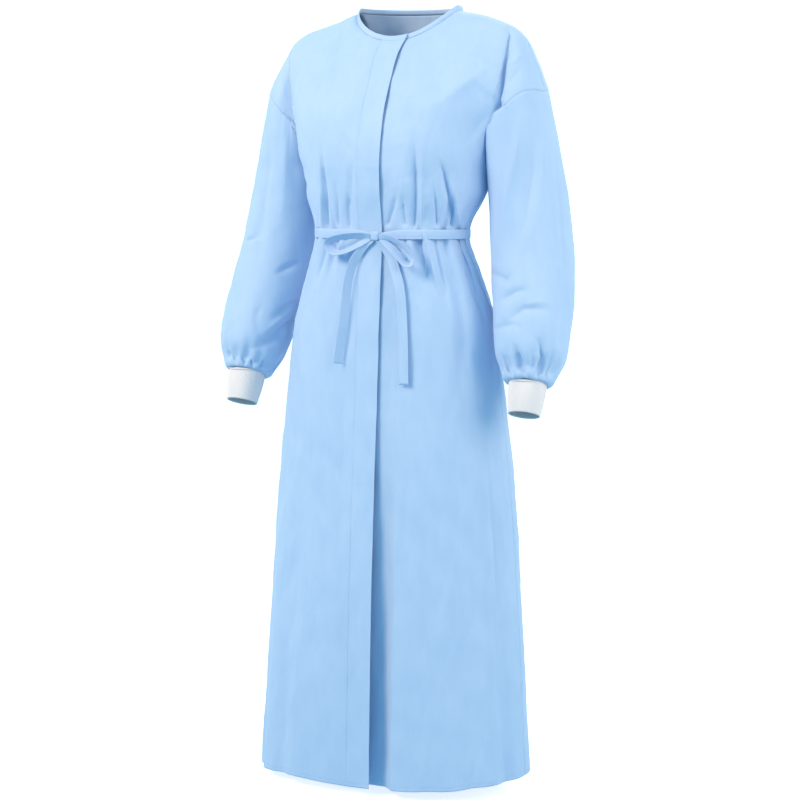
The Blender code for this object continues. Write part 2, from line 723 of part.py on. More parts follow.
def cloth_material(name, colour, roughness):
    """Principled material of a cloth."""
    material = bpy.data.materials.new(name)
    material.use_nodes = True
    shader = material.node_tree.nodes["Principled BSDF"]
    shader.inputs["Base Color"].default_value = (*colour, 1.0)
    shader.inputs["Roughness"].default_value = roughness
    shader.inputs["Metallic"].default_value = 0.0
    return material


def add_panels():
    """Fronts, backs, sleeves and cuffs."""
    for name, side in SIDES:
        left = side > 0
        front = trim_grid(front_grid(side), SHOULDER_INSET)
        blue = cloth_material(f"front_{name}", CLOTH_BLUE, CLOTH_ROUGHNESS)
        mesh_object(f"front_{name}", front, WALL, blue, flip=left)
        back = trim_grid(back_grid(side), SHOULDER_INSET)
        blue = cloth_material(f"back_{name}", CLOTH_BLUE, CLOTH_ROUGHNESS)
        mesh_object(f"back_{name}", back, WALL, blue, flip=not left)
        sleeve = trim_grid(sleeve_grid(side), SEAM_INSET, wrap=True)
        blue = cloth_material(f"sleeve_{name}", CLOTH_BLUE, CLOTH_ROUGHNESS)
        mesh_object(f"sleeve_{name}", sleeve, WALL, blue, wrap=True, flip=not left)
        white = cloth_material(f"cuff_{name}", KNIT_WHITE, KNIT_ROUGHNESS)
        mesh_object(f"cuff_{name}", cuff_grid(side), CUFF_WALL, white, wrap=True, flip=not left)


def add_trims():
    """Neck binding, belt and bow."""
    binding = cloth_material("neck_binding", CLOTH_BLUE, CLOTH_ROUGHNESS)
    mesh_object("neck_binding", binding_grid(), BINDING_WALL, binding)
    belt = cloth_material("belt", CLOTH_BLUE, CLOTH_ROUGHNESS)
    mesh_object("belt_band", belt_grid(), BELT_WALL, belt, wrap=True, flip=True)
    add_knot(belt)
    ribbons = (
        ("bow_loop_right", LOOP_RIGHT, LOOP_STATIONS),
        ("bow_loop_left", LOOP_LEFT, LOOP_STATIONS),
        ("belt_tail_right", TAIL_RIGHT, TAIL_STATIONS),
        ("belt_tail_left", TAIL_LEFT, TAIL_STATIONS),
    )
    for name, route, stations in ribbons:
        mesh_object(name, ribbon_grid(route, stations), BELT_WALL, belt)


def main():
    for item in list(bpy.data.objects):
        bpy.data.objects.remove(item, do_unlink=True)
    bpy.context.scene.collection.children.link(bpy.data.collections.new(COLLECTION))
    add_panels()
    add_trims()


main()
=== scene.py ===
"""Dressed look of the surgical gown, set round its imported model.

The origin is at the middle of the neck opening, level with its side points.
The front faces -Y, the wearer's left is +X and up is +Z. Units are metres.
A drop is the distance down from the origin. A turn is in degrees round the
body from the centre front (0) past the side seam (90) to the centre back
(180), positive towards the wearer's left.
"""

import math

import bpy
import numpy as np
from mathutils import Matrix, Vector


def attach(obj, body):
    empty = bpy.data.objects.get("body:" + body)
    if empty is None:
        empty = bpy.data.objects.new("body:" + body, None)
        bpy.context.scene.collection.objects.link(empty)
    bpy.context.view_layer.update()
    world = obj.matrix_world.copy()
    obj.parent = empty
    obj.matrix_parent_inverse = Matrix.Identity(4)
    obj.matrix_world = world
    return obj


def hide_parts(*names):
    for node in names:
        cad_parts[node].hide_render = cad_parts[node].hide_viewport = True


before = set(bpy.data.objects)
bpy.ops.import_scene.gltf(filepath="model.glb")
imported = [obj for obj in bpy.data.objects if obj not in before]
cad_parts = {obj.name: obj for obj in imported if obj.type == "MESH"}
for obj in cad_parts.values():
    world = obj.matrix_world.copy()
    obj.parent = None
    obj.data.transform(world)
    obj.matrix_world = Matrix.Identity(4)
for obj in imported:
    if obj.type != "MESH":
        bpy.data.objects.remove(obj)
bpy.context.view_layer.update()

# Driving dimensions
GOWN_LENGTH = 1.40
UNDERARM_DROP = 0.285
HIP_DROP = 0.56
BELT_DROP = 0.405
BELT_WIDTH = 0.0175
OVERLAP = 0.026
UNDERLAP = 0.032
LAP_STEP = 0.0042
FRONT_SHAPE = 2.3
BACK_SHAPE = 2.05
CLOTH_THICKNESS = 0.0007
HEM_WIDTH = 0.008

# Thickness of the other cloths
CUFF_THICKNESS = 0.0014
BINDING_THICKNESS = 0.0004
BELT_THICKNESS = 0.0011
RIBBON_THICKNESS = 0.0010

# Grid sizes of the panels: rows above the underarm, rows from there to the belt,
# over the belt, to the hips and to the hem, columns up to the neck's side point
# and from there to the side seam
UPPER_ROWS = 56
SKIRT_ROWS = (37, 7, 45, 105)
NECK_COLUMNS = 26
FRONT_SIDE_COLUMNS = 104
BACK_SIDE_COLUMNS = 62

# Places of a back's columns beside the centre seam and of both panels' columns
# beside the side seam, and where the evenly set columns end before those
CENTRE_PLACES = (0.0, 0.003, 0.006, 0.010)
SEAM_PLACES = (0.990, 0.994, 0.997, 1.0)
SIDE_END = 0.985

# Widths of a front's first columns from its free edge, close together at the
# placket's stitch line, the index of that line, and the row of the hem's stitches
LAP_WIDTHS = np.array((
    0.0, 0.0006, 0.002, 0.005, 0.009, 0.014, 0.019, 0.024, 0.029, 0.034, 0.039, 0.0425,
    0.0445, 0.0455, 0.046, 0.0465, 0.0475, 0.0495, 0.054, 0.060, 0.066,
))
STITCH_COLUMN = 14
HEM_ROW = -5

# Rows of the hem above its edge, as parts of its width
HEM_ROWS = (2.0, 1.45, 1.2, 1.0, 0.8, 0.55, 0.25, 0.0)

# Grid sizes of the sleeves and cuffs
SLEEVE_SIDES = 2 * UPPER_ROWS
SLEEVE_ROWS = 100
SLEEVE_SPACING = 0.9
CAP_ROWS = 24
CUFF_ROWS = 26
CUFF_RIBS = 84
RIB_POINTS = 4
RIB_HEIGHT = 0.00035
CUFF_TUCK = 0.003

# Smoothing of a sleeve's cap: rows that it reaches, times, strength
CAP_SMOOTH_ROWS = 44
CAP_SMOOTH_TIMES = 60
CAP_SMOOTH = 0.4

# Way of the under front behind the over front: added depth down the skirt, the
# drop where that starts, the length that it takes, x where it ends, its ease
LAP_DEPTH = 0.026
LAP_START = 0.60
LAP_RUN = 0.80
LAP_END = 0.075
LAP_EASE = 0.035

# Seam of a panel's side: depth of its last column, and the share of that depth
# which each of its last columns has
SEAM_DEPTH = 0.0009
SEAM_SHARES = ((-1, 1.0), (-2, 0.75), (-3, 0.35), (-4, 0.08))

# Trunk sections: drop, half width, front y, side seam y, back y
TRUNK = (
    (0.285, 0.182, -0.167, -0.022, 0.083),
    (0.300, 0.1785, -0.1665, -0.029, 0.076),
    (0.330, 0.175, -0.165, -0.045, 0.060),
    (0.405, 0.150, -0.156, -0.067, 0.028),
    (0.470, 0.170, -0.160, -0.060, 0.036),
    (0.550, 0.196, -0.166, -0.055, 0.050),
    (0.650, 0.209, -0.172, -0.054, 0.061),
    (0.910, 0.238, -0.190, -0.052, 0.086),
    (1.100, 0.2520, -0.200, -0.055, 0.094),
    (1.400, 0.2715, -0.208, -0.063, 0.097),
)

# Drop of the hem round the skirt: turn, drop
HEM = (
    (-180, 1.388),
    (-135, 1.400),
    (-90, 1.407),
    (-60, 1.409),
    (-30, 1.406),
    (0, 1.409),
    (30, 1.405),
    (60, 1.394),
    (90, 1.386),
    (135, 1.384),
    (180, 1.388),
)

# Neck edge, an oval that dips at the front
NECK_HALF_WIDTH = 0.103
NECK_FRONT_DEPTH = 0.071
NECK_BACK_DEPTH = 0.081
NECK_FRONT_DROP = 0.055
NECK_BACK_DROP = 0.002
NECK_DIP_SHAPE = 1.5
BINDING_WIDTH = 0.010
BINDING_FRONT_LEAN = 0.75
BINDING_BACK_LEAN = -0.30
BINDING_SIDE_LEAN = -0.35
BINDING_FRONT_COLUMNS = 70
BINDING_BACK_COLUMNS = 50

# Section of the folded binding: height as a part of its width, distance out
BINDING_SECTION = (
    (-0.02, 0.0002),
    (0.02, 0.0006),
    (0.10, 0.0008),
    (0.17, 0.0005),
    (0.24, 0.0008),
    (0.55, 0.0009),
    (0.85, 0.0008),
    (0.97, 0.0005),
    (1.00, 0.0),
    (0.97, -0.0005),
    (0.85, -0.0008),
    (0.45, -0.0009),
    (0.02, -0.0008),
)

# Shoulder seam from the neck's side point to the armhole: place, x, y, z
NECK_SIDE = 0.375
SHOULDER_SEAM = (
    (0.375, 0.103, 0.000, 0.000),
    (0.560, 0.171, 0.000, -0.015),
    (0.730, 0.229, 0.000, -0.045),
    (0.860, 0.255, -0.004, -0.092),
    (1.000, 0.280, -0.008, -0.150),
)

# Yoke columns of a front, from the centre (0) to the armhole (1): place,
# upper handle x, y, z, lower handle from the foot x, y, z
FRONT_YOKE = (
    (0.000, 0.000, -0.113, -0.095, 0.000, 0.004, 0.080),
    (0.200, 0.066, -0.105, -0.062, 0.000, 0.004, 0.090),
    (0.375, 0.112, -0.074, -0.010, 0.004, 0.002, 0.105),
    (0.560, 0.177, -0.068, -0.021, 0.018, -0.002, 0.110),
    (0.730, 0.233, -0.074, -0.055, 0.028, -0.012, 0.100),
    (0.860, 0.256, -0.096, -0.088, 0.014, -0.040, 0.085),
    (1.000, 0.274, -0.113, -0.125, -0.005, -0.080, 0.070),
)

# Yoke columns of a back, from the centre (0) to the armhole (1), as above
BACK_YOKE = (
    (0.000, 0.000, 0.095, -0.057, 0.000, 0.012, 0.090),
    (0.200, 0.064, 0.090, -0.040, 0.000, 0.012, 0.095),
    (0.375, 0.112, 0.070, -0.012, 0.004, 0.012, 0.105),
    (0.560, 0.177, 0.070, -0.021, 0.018, 0.010, 0.110),
    (0.730, 0.233, 0.072, -0.055, 0.028, 0.016, 0.100),
    (0.860, 0.256, 0.082, -0.090, 0.018, 0.044, 0.085),
    (1.000, 0.274, 0.086, -0.130, 0.000, 0.068, 0.050),
)

# Sleeve rings: drop, centre x, centre y, radius
SLEEVE = (
    (0.345, 0.2495, -0.010, 0.0735),
    (0.400, 0.2570, -0.018, 0.0745),
    (0.452, 0.2645, -0.026, 0.0753),
    (0.523, 0.2765, -0.048, 0.0735),
    (0.558, 0.2820, -0.062, 0.0705),
    (0.598, 0.2870, -0.077, 0.0670),
    (0.629, 0.2890, -0.086, 0.0615),
    (0.647, 0.2900, -0.092, 0.0540),
    (0.664, 0.2910, -0.099, 0.0360),
)
SLEEVE_END = SLEEVE[-1][0]

# Last rings of a sleeve, over the top of the cuff: drop, centre x, y, radius
SLEEVE_FOOT = (
    (0.6600, 0.2908, -0.0975, 0.0480),
    (0.6680, 0.2912, -0.1010, 0.0420),
    (0.6695, 0.2912, -0.1016, 0.0375),
    (0.6680, 0.2911, -0.1010, 0.0338),
)

# Cuff rings: drop, centre x, centre y, radius
CUFF = (
    (0.6650, 0.2910, -0.1000, 0.0345),
    (0.6950, 0.2918, -0.1105, 0.0325),
    (0.7230, 0.2925, -0.1200, 0.0285),
)

# Creases of the trunk: turn and drop at one end, turn and drop at the other,
# half width, depth. The deep end is the first one.
TRUNK_FOLDS = (
    (-27, 0.400, -30, 0.330, 0.009, 0.005),
    (-56, 0.400, -58, 0.310, 0.009, 0.008),
    (-74, 0.400, -74, 0.330, 0.009, 0.007),
    (36, 0.400, 37, 0.350, 0.008, 0.004),
    (58, 0.400, 61, 0.310, 0.010, 0.007),
    (79, 0.400, 79, 0.340, 0.008, 0.005),
    (-17, 0.410, -17, 0.500, 0.009, 0.003),
    (-28, 0.410, -29, 0.560, 0.011, 0.005),
    (-58, 0.410, -56, 0.700, 0.011, 0.010),
    (-75, 0.410, -73, 0.600, 0.010, 0.008),
    (33, 0.410, 30, 0.560, 0.010, 0.004),
    (59, 0.410, 55, 0.720, 0.012, 0.008),
    (79, 0.410, 79, 0.650, 0.008, 0.006),
    (104, 0.400, 105, 0.320, 0.009, 0.007),
    (121, 0.400, 122, 0.290, 0.010, 0.009),
    (137, 0.400, 136, 0.320, 0.009, 0.007),
    (156, 0.400, 157, 0.300, 0.010, 0.008),
    (-103, 0.400, -104, 0.330, 0.009, 0.007),
    (-119, 0.400, -120, 0.290, 0.010, 0.009),
    (-134, 0.400, -134, 0.320, 0.009, 0.006),
    (-153, 0.400, -155, 0.300, 0.010, 0.008),
    (104, 0.410, 104, 0.560, 0.010, 0.008),
    (121, 0.410, 120, 0.720, 0.011, 0.010),
    (136, 0.410, 138, 0.560, 0.010, 0.007),
    (155, 0.410, 155, 0.680, 0.011, 0.009),
    (-103, 0.410, -104, 0.600, 0.010, 0.008),
    (-119, 0.410, -121, 0.680, 0.011, 0.010),
    (-135, 0.410, -135, 0.540, 0.010, 0.007),
    (-154, 0.410, -156, 0.700, 0.011, 0.009),
    (-38, 1.400, -36, 0.800, 0.030, 0.006),
    (-66, 1.400, -63, 0.760, 0.030, 0.009),
    (28, 1.400, 27, 0.820, 0.030, 0.005),
    (50, 1.400, 48, 0.740, 0.030, 0.008),
    (72, 1.400, 70, 0.860, 0.026, 0.007),
    (114, 1.400, 115, 0.800, 0.030, 0.009),
    (146, 1.400, 144, 0.760, 0.032, 0.008),
    (-112, 1.400, -113, 0.780, 0.030, 0.009),
    (-144, 1.400, -146, 0.820, 0.032, 0.007),
)

# Shape of those creases: part of the half width at the deep end, how much of it
# is added along them, parts of the length over which they lead in and fade
FOLD_WIDTH = 0.60
FOLD_WIDENING = 0.75
FOLD_LEAD = 0.06
FOLD_FADE = 0.8

# Creases of a sleeve: turn and drop at one end, turn and drop at the other,
# half width, depth. The turn starts at the outer side and passes the front.
SLEEVE_FOLDS_LEFT = (
    (15, 0.600, 20, 0.340, 0.014, 0.004),
    (150, 0.380, 200, 0.350, 0.014, 0.005),
    (250, 0.520, 300, 0.480, 0.016, 0.006),
)
SLEEVE_FOLDS_RIGHT = (
    (20, 0.590, 24, 0.360, 0.014, 0.004),
    (60, 0.440, 110, 0.400, 0.014, 0.005),
    (250, 0.500, 300, 0.470, 0.016, 0.006),
)

# Gathers of a sleeve above its cuff: turn, depth, height. Half width of each in
# degrees, and how many times faster it fades at its foot than at its top.
CUFF_GATHERS = (
    (10, 0.007, 0.050),
    (38, 0.006, 0.040),
    (64, 0.009, 0.060),
    (88, 0.007, 0.045),
    (112, 0.010, 0.060),
    (140, 0.007, 0.040),
    (168, 0.006, 0.045),
    (196, 0.007, 0.050),
    (222, 0.006, 0.040),
    (248, 0.008, 0.055),
    (276, 0.006, 0.045),
    (304, 0.008, 0.050),
    (332, 0.006, 0.040),
)
CUFF_GATHER_TURN = 8.0
CUFF_GATHER_FOOT = 4.0

# Belt: columns round the waist, distance out; near its knot the reach of the
# pinch, narrowing, dip and added distance out
BELT_COLUMNS = 480
BELT_LIFT = 0.0017
PINCH_REACH = 0.030
PINCH_NARROWING = 0.38
PINCH_DIP = 0.0035
PINCH_LIFT = 0.0012

# Sections of the belt and of its ribbons: part of the half width, bulge out. The
# dent is a line of stitches.
BELT_SECTION = (
    (-1.0, -0.0005),
    (-0.94, 0.0),
    (-0.6, 0.0003),
    (-0.2, 0.0004),
    (0.2, 0.0003),
    (0.5, 0.0001),
    (0.6, -0.0003),
    (0.7, 0.0001),
    (0.94, 0.0),
    (1.0, -0.0005),
)
RIBBON_SECTION = (
    (-1.0, 0.0),
    (-0.93, 0.0002),
    (-0.6, 0.0003),
    (-0.2, 0.0003),
    (0.2, 0.0002),
    (0.52, 0.0001),
    (0.60, -0.0002),
    (0.68, 0.0001),
    (0.93, 0.0002),
    (1.0, 0.0),
)

# Routes of the belt's loops and free ends from the knot: x, drop, distance
# out from the skirt, lean of the width from upright, roll of the width out
# of the skirt's plane, part of the belt's width
KNOT_X = 0.015
LOOP_RIGHT = (
    (0.0060, 0.4085, 0.0080, 0, 20, 0.50),
    (-0.012, 0.4070, 0.0125, 4, 50, 0.85),
    (-0.036, 0.4085, 0.0160, 10, 58, 1.0),
    (-0.062, 0.4140, 0.0180, 24, 60, 1.0),
    (-0.0760, 0.4235, 0.0170, 85, 62, 1.0),
    (-0.0690, 0.4355, 0.0155, 150, 62, 1.0),
    (-0.0560, 0.4390, 0.0150, 190, 58, 1.0),
    (-0.0340, 0.4330, 0.0130, 208, 50, 0.95),
    (-0.0120, 0.4215, 0.0100, 206, 35, 0.8),
    (0.0060, 0.4125, 0.0060, 200, 10, 0.40),
)
LOOP_LEFT = (
    (0.0240, 0.4085, 0.0085, 0, 15, 0.50),
    (0.044, 0.4110, 0.0135, -20, 45, 0.85),
    (0.064, 0.4200, 0.0170, -34, 55, 1.0),
    (0.0780, 0.4330, 0.0180, -46, 58, 1.0),
    (0.0870, 0.4470, 0.0170, -84, 62, 1.0),
    (0.0850, 0.4580, 0.0155, -140, 62, 1.0),
    (0.0750, 0.4570, 0.0140, -205, 58, 1.0),
    (0.0620, 0.4430, 0.0120, -228, 50, 0.95),
    (0.0460, 0.4280, 0.0095, -222, 35, 0.8),
    (0.0240, 0.4130, 0.0060, -200, 10, 0.40),
)
TAIL_RIGHT = (
    (0.0108, 0.41665, 0.0060, 90, 0, 0.33),
    (-0.006, 0.4280, 0.0085, 48, 25, 0.7),
    (-0.020, 0.4470, 0.0110, 62, 46, 1.0),
    (-0.029, 0.4700, 0.0120, 76, 57, 1.0),
    (-0.035, 0.4990, 0.0120, 84, 60, 1.0),
    (-0.038, 0.5340, 0.0115, 88, 54, 1.0),
    (-0.042, 0.5750, 0.0110, 84, 52, 1.0),
    (-0.051, 0.6390, 0.0105, 78, 50, 1.0),
)
TAIL_LEFT = (
    (0.0188, 0.41665, 0.0060, -90, 0, 0.33),
    (0.0330, 0.4300, 0.0036, -56, 0, 0.8),
    (0.0460, 0.4460, 0.0042, -60, -4, 1.0),
    (0.0557, 0.4680, 0.0080, -70, -14, 1.0),
    (0.0657, 0.4990, 0.0095, -80, -25, 1.0),
    (0.072, 0.5485, 0.0080, -86, -15, 1.0),
    (0.076, 0.6020, 0.0070, -90, -5, 1.0),
    (0.079, 0.6730, 0.0065, -90, 0, 1.0),
)

# Knot: rows and columns of its grid, width, height and depth, powers of its
# section's width and depth (1 is an ellipse), distance out, drop below the
# belt's middle, roundness of its ends, swell to the ends, twist; wrinkles as
# size, number round the knot and slant
KNOT_ROWS = 31
KNOT_COLUMNS = 56
KNOT_SIZE = (0.0170, 0.0165, 0.0085)
KNOT_POWERS = (0.70, 0.80)
KNOT_LIFT = 0.0022
KNOT_SAG = 0.003
KNOT_ROUNDNESS = 4.0
KNOT_SWELL = 0.06
KNOT_TWIST = 0.0008
KNOT_WRINKLES = (
    (0.030, 5.0, 3.0),
    (0.018, 9.0, -4.0),
)

# Ribbons of the bow: node, route, stations along it
RIBBONS = (
    ("bow_loop_right", LOOP_RIGHT, 180),
    ("bow_loop_left", LOOP_LEFT, 180),
    ("belt_tail_right", TAIL_RIGHT, 160),
    ("belt_tail_left", TAIL_LEFT, 160),
)

# Wearer's sides: name, sign of x
SIDES = (("left", 1.0), ("right", -1.0))

# Swells of the chest: x, drop, half width, half height above, half height below, swell
SWELLS = (
    (0.112, 0.196, 0.060, 0.050, 0.110, 0.011),
    (-0.100, 0.196, 0.060, 0.050, 0.110, 0.010),
)

# Camera of the photograph, whose frame is 800 points square: degrees, metres,
# and the focal length in points of that frame
CAMERA_AZIMUTH = 28.0
CAMERA_DISTANCE = 4.8
CAMERA_ASIDE = -0.0177
CAMERA_HEIGHT = -0.29
CAMERA_TILT = 5.09
FOCAL_POINTS = 2582.0
FRAME_POINTS = 800.0
SENSOR = 36.0
CAMERA_REACH = 60.0

# Creases that the photograph shows, in its own points: the line, half width
# on the left and on the right of it going down, depth in millimetres (a ridge
# is below 0), part of the depth at the line's start
CREASES = {
    "front_left": (
        (((509, 30), (500, 76), (494.3, 107), (490.5, 146), (486, 180)), 2.2, 14, 9.0, 0.3),
        (((508, 30), (499.5, 76), (493.8, 107), (490, 146), (485.5, 180)), 2.0, 5.0, 10.0, 0.3),
        (((526, 52), (512, 62), (504, 72)), 3.5, 3, -3.0, 0.2),
        (((524, 66), (512, 78), (503, 90)), 3, 4, 3.6, 0.2),
        (((514, 46), (508, 56), (505, 64)), 3, 3, 2.6, 0.2),
        (((409, 120), (405, 160), (400, 205), (398, 225)), 4.2, 4.2, -2.8, 0.0),
        (((414, 222), (415, 190), (414, 150), (413, 118)), 3, 6, 6.3, 1.0),
        (((422, 222), (422, 180), (424, 125)), 2.5, 2.5, -3.3, 1.0),
        (((453, 223), (452, 200), (445, 175), (436, 150)), 4.2, 2.1, 8.7, 1.0),
        (((458, 222), (455, 200), (449, 175)), 2.1, 2.5, -3.9, 1.0),
        (((437, 223), (436, 205), (433, 180)), 3.4, 2.5, 4.3, 1.0),
        (((405, 224), (403, 208), (401, 190)), 2.5, 2.5, 3.9, 1.0),
        (((388, 223), (394, 205), (398, 185)), 2.1, 2.5, 3.3, 1.0),
        (((418, 236), (420, 250), (424, 268), (428, 290)), 3.4, 3.4, 8.1, 1.0),
        (((424, 236), (430, 258), (436, 284), (441, 304)), 1.7, 2.5, -4.3, 1.0),
        (((434, 238), (439, 262), (445, 290), (450, 320)), 4, 6, 5.2, 1.0),
        (((459, 236), (465, 256), (474, 285), (480, 320)), 4, 8, 7.2, 1.0),
        (((404, 236), (405, 250), (407, 270)), 2.5, 2.5, 3.3, 1.0),
        (((482, 72), (452, 94), (418, 116)), 13, 7, -8.0, 0.3),
        (((496, 106), (474, 134), (450, 170)), 32, 14, 12.0, 0.6),
        (((404, 430), (404, 520), (402, 640), (400, 760)), 16, 16, 5.2, 0.0),
        (((452, 400), (458, 500), (462, 620), (464, 760)), 16, 18, 6.3, 0.0),
        (((486, 430), (494, 540), (500, 660)), 4.2, 4.2, 3.3, 0.0),
    ),
    "front_right": (
        (((293, 40), (291, 71), (293, 112), (299, 158), (308, 200), (314, 222)), 9, 2.2, 14.0, 0.1),
        (((326.5, 223), (325.5, 200), (321, 160), (317, 125)), 3.0, 1.7, 8.7, 1.0),
        (((322, 222), (321, 190), (319, 150), (317, 120)), 2.1, 2.1, -3.3, 1.0),
        (((349, 224), (348, 208), (350, 180), (356, 150)), 2.5, 2.5, 4.3, 1.0),
        (((338, 224), (337, 200), (334, 170)), 2.1, 2.5, 3.3, 1.0),
        (((352, 160), (342, 135), (336, 120)), 2.5, 3.4, 2.4, 0.0),
        (((327, 235), (321, 258), (315, 290)), 2.5, 3.4, 6.8, 1.0),
        (((322, 235), (314, 262), (309, 290)), 1.7, 2.5, -2.8, 1.0),
        (((337, 235), (333, 262), (331, 300)), 2.5, 3.4, 4.3, 1.0),
        (((345, 330), (342, 430), (338, 540), (334, 640)), 10, 12, 5.7, 0.0),
        (((304, 420), (297, 560), (290, 700)), 12, 12, 5.7, 0.0),
    ),
    "sleeve_left": (
        (((521, 106), (517, 150), (510, 190), (502, 240), (499, 264)), 6, 3, -7.5, 0.3),
        (((532, 130), (532, 180), (524, 225), (508, 262)), 9, 8, 9.5, 0.2),
        (((545, 120), (541, 180), (533, 225), (516, 264)), 4, 6, -4.8, 0.2),
        (((553, 117), (559, 185), (564, 264), (565, 330)), 1.7, 2.5, 5.5, 0.1),
        (((492, 274), (506, 280), (514, 268)), 4.2, 3.4, 7.0, 0.6),
        (((498, 302), (514, 292), (534, 288)), 3.4, 3.4, 7.0, 0.2),
        (((505, 322), (524, 308), (556, 310)), 3.4, 4.2, 6.5, 0.2),
        (((520, 306), (540, 302), (556, 306)), 2.1, 2.5, -3.0, 0.1),
        (((496, 328), (512, 324), (524, 330)), 3.4, 2.5, 5.2, 0.6),
        (((524, 377), (521, 362), (515, 347), (508, 338)), 4.2, 2.1, 7.2, 1.0),
        (((529, 378), (529, 362), (527, 345)), 1.7, 1.7, -3.4, 1.0),
        (((538, 377), (543, 358), (540, 342), (532, 332)), 3.8, 2.5, 8.7, 1.0),
        (((546, 378), (551, 360), (556, 340)), 2.5, 2.5, 4.8, 1.0),
        (((511, 376), (505, 362), (498, 350)), 2.1, 2.5, 6.4, 1.0),
    ),
    "sleeve_right": (
        (((269, 112), (267, 170), (261, 230), (254, 290)), 8, 6, 7.5, 0.2),
        (((287, 112), (285, 170), (282, 240)), 6, 6, -5.2, 0.0),
        (((298, 262), (285, 268), (272, 276)), 2.5, 3.4, 6.0, 0.6),
        (((294, 302), (279, 313), (268, 322)), 2.5, 3.4, 7.0, 0.6),
        (((262, 300), (256, 318), (259, 336)), 2.5, 3.4, 3.0, 0.2),
        (((293, 322), (278, 336), (262, 345), (242, 352)), 6, 6, 13.0, 0.8),
        (((291, 311), (272, 327), (258, 340)), 2.5, 2.5, -4.3, 0.5),
        (((284, 352), (268, 362), (252, 357)), 2.5, 2.5, -3.9, 0.3),
        (((236, 368), (233, 358), (228, 350)), 2.1, 2.5, 7.4, 1.0),
        (((244, 371), (244, 362), (240, 352)), 2.1, 2.1, 7.4, 1.0),
        (((252, 374), (252, 364), (249, 355)), 2.1, 2.1, 9.1, 1.0),
        (((260, 376), (262, 366), (266, 356)), 2.1, 2.5, 9.1, 1.0),
    ),
}

# Power of a crease's profile: 2 is round, 1 comes to a sharp line. Unit of depth.
CREASE_SHARPNESS = 1.25
MILLIMETRE = 0.001

# Where creases fade: facing of the camera below which they do, parts of their
# length over which they reach full depth, lead in and fade out, and the first
# rows of a grid, over which they rise from nothing
CREASE_FACING = 0.16
CREASE_ENTRY = 0.35
CREASE_LEAD = 0.12
CREASE_FADE = 0.6
TOP_HELD_ROWS = 9.0

# Gathers, which are the creases that start at full depth: factors of their
# depth and width
GATHER_DEPTH = 1.4
GATHER_WIDTH = 0.85

# Last rows of a sleeve over which its creases fade out, above the cuff
SLEEVE_HELD_ROWS = 7

# Soft crumple of the cloth: number of waves, shortest and longest wave, height
# of each as a part of its length, how much longer the waves run downwards, size
# of its patches, rows and columns over which it calms at an edge
CRUMPLE_WAVES = 30
CRUMPLE_SPAN = (0.014, 0.080)
CRUMPLE_STEEPNESS = 0.0050
CRUMPLE_RUN = 2.2
CRUMPLE_PATCH = 9.0
CRUMPLE_CALM = 9.0
CRUMPLE_SEEDS = {
    "front_left": 11,
    "front_right": 23,
    "back_left": 31,
    "back_right": 47,
    "sleeve_left": 59,
    "sleeve_right": 67,
}

# Folded lips that the photograph shows, in its own points: the line, the side
# of it going down on which the cloth folds over (1 left, -1 right), how far
# back the fold reaches, how far it laps over
LIPS = {
    "front_left": (
        (((508, 30), (497.5, 75), (492, 106)), 1.0, 8.0, 3.2),
    ),
    "front_right": (
        (((294, 42), (292, 71), (296, 112), (303, 158), (312, 200), (318, 222)), -1.0, 7.0, 3.6),
    ),
}

# Parts of a lip's line over which it rises and fades, columns beside the seam
# that it leaves alone, columns over which it fades towards them
LIP_ENTRY = 0.08
LIP_FADE = 0.40
LIP_SEAM_COLUMNS = 5.0
LIP_SEAM_EASE = 14.0

# Sag of the right shoulder line: x of its middle, half width, sag, drop of its
# foot, distance that it keeps from the neck, ease from there
SHOULDER_SAG = (0.165, 0.050, 0.008, 0.10)
SAG_CLEARANCE = 0.004
SAG_EASE = 0.03

# Placket: distance that its two layers stand out, dent along its stitch line,
# levels in the photograph where the stitches start and where a bar crosses them
PLACKET_LIFT = 0.0007
PLACKET_DENT = 0.0004
PLACKET_STITCH_START = 454.0
TACK_LEVEL = 482.0

# Stitches: distance between them, stitched part of it, half width of the
# thread, its height as a part of that, distance off the cloth
STITCH_PITCH = 0.0030
STITCH_FILL = 0.72
THREAD_HALF_WIDTH = 0.00028
THREAD_HEIGHT = 1.3
STITCH_LIFT = 0.0002

# Studio: drop of its floor, reach of its round wall, height, bend into the wall
# and into the ceiling, rings of the floor and of each bend, points round it
FLOOR_DROP = 1.424
ROOM_REACH = 8.0
ROOM_HEIGHT = 9.0
ROOM_BEND = 2.2
FLOOR_RINGS = 14
BEND_RINGS = 13
ROOM_TURNS = 96

# Light: sky colour and strength, lamp colour, the point that the lamps face
SKY_COLOUR = (0.30, 0.75, 1.0, 1.0)
SKY_STRENGTH = 0.80
LAMP_COLOUR = (1.0, 0.83, 0.58)
LAMP_TARGET = (0.0, -0.05, -0.65)

# Lamps: name, place, size, power
LAMPS = (
    ("key", (-1.9, -2.8, 1.6), 1.8, 124.0),
    ("side", (3.2, -0.4, 0.6), 2.8, 75.0),
    ("back", (-0.6, 3.6, 1.9), 2.4, 70.0),
)

# Colours
CLOTH_LIGHT = (0.51, 0.605, 0.83, 1.0)
CLOTH_DEEP = (0.445, 0.555, 0.80, 1.0)
KNIT_LIGHT = (0.95, 0.79, 0.79, 1.0)
KNIT_DEEP = (0.88, 0.73, 0.74, 1.0)
FLOOR_PALE = (0.90, 0.90, 0.91, 1.0)
FLOOR_GLOW = 0.72
FLOOR_ROUGHNESS = 0.9
FLOOR_SPECULAR = 0.1

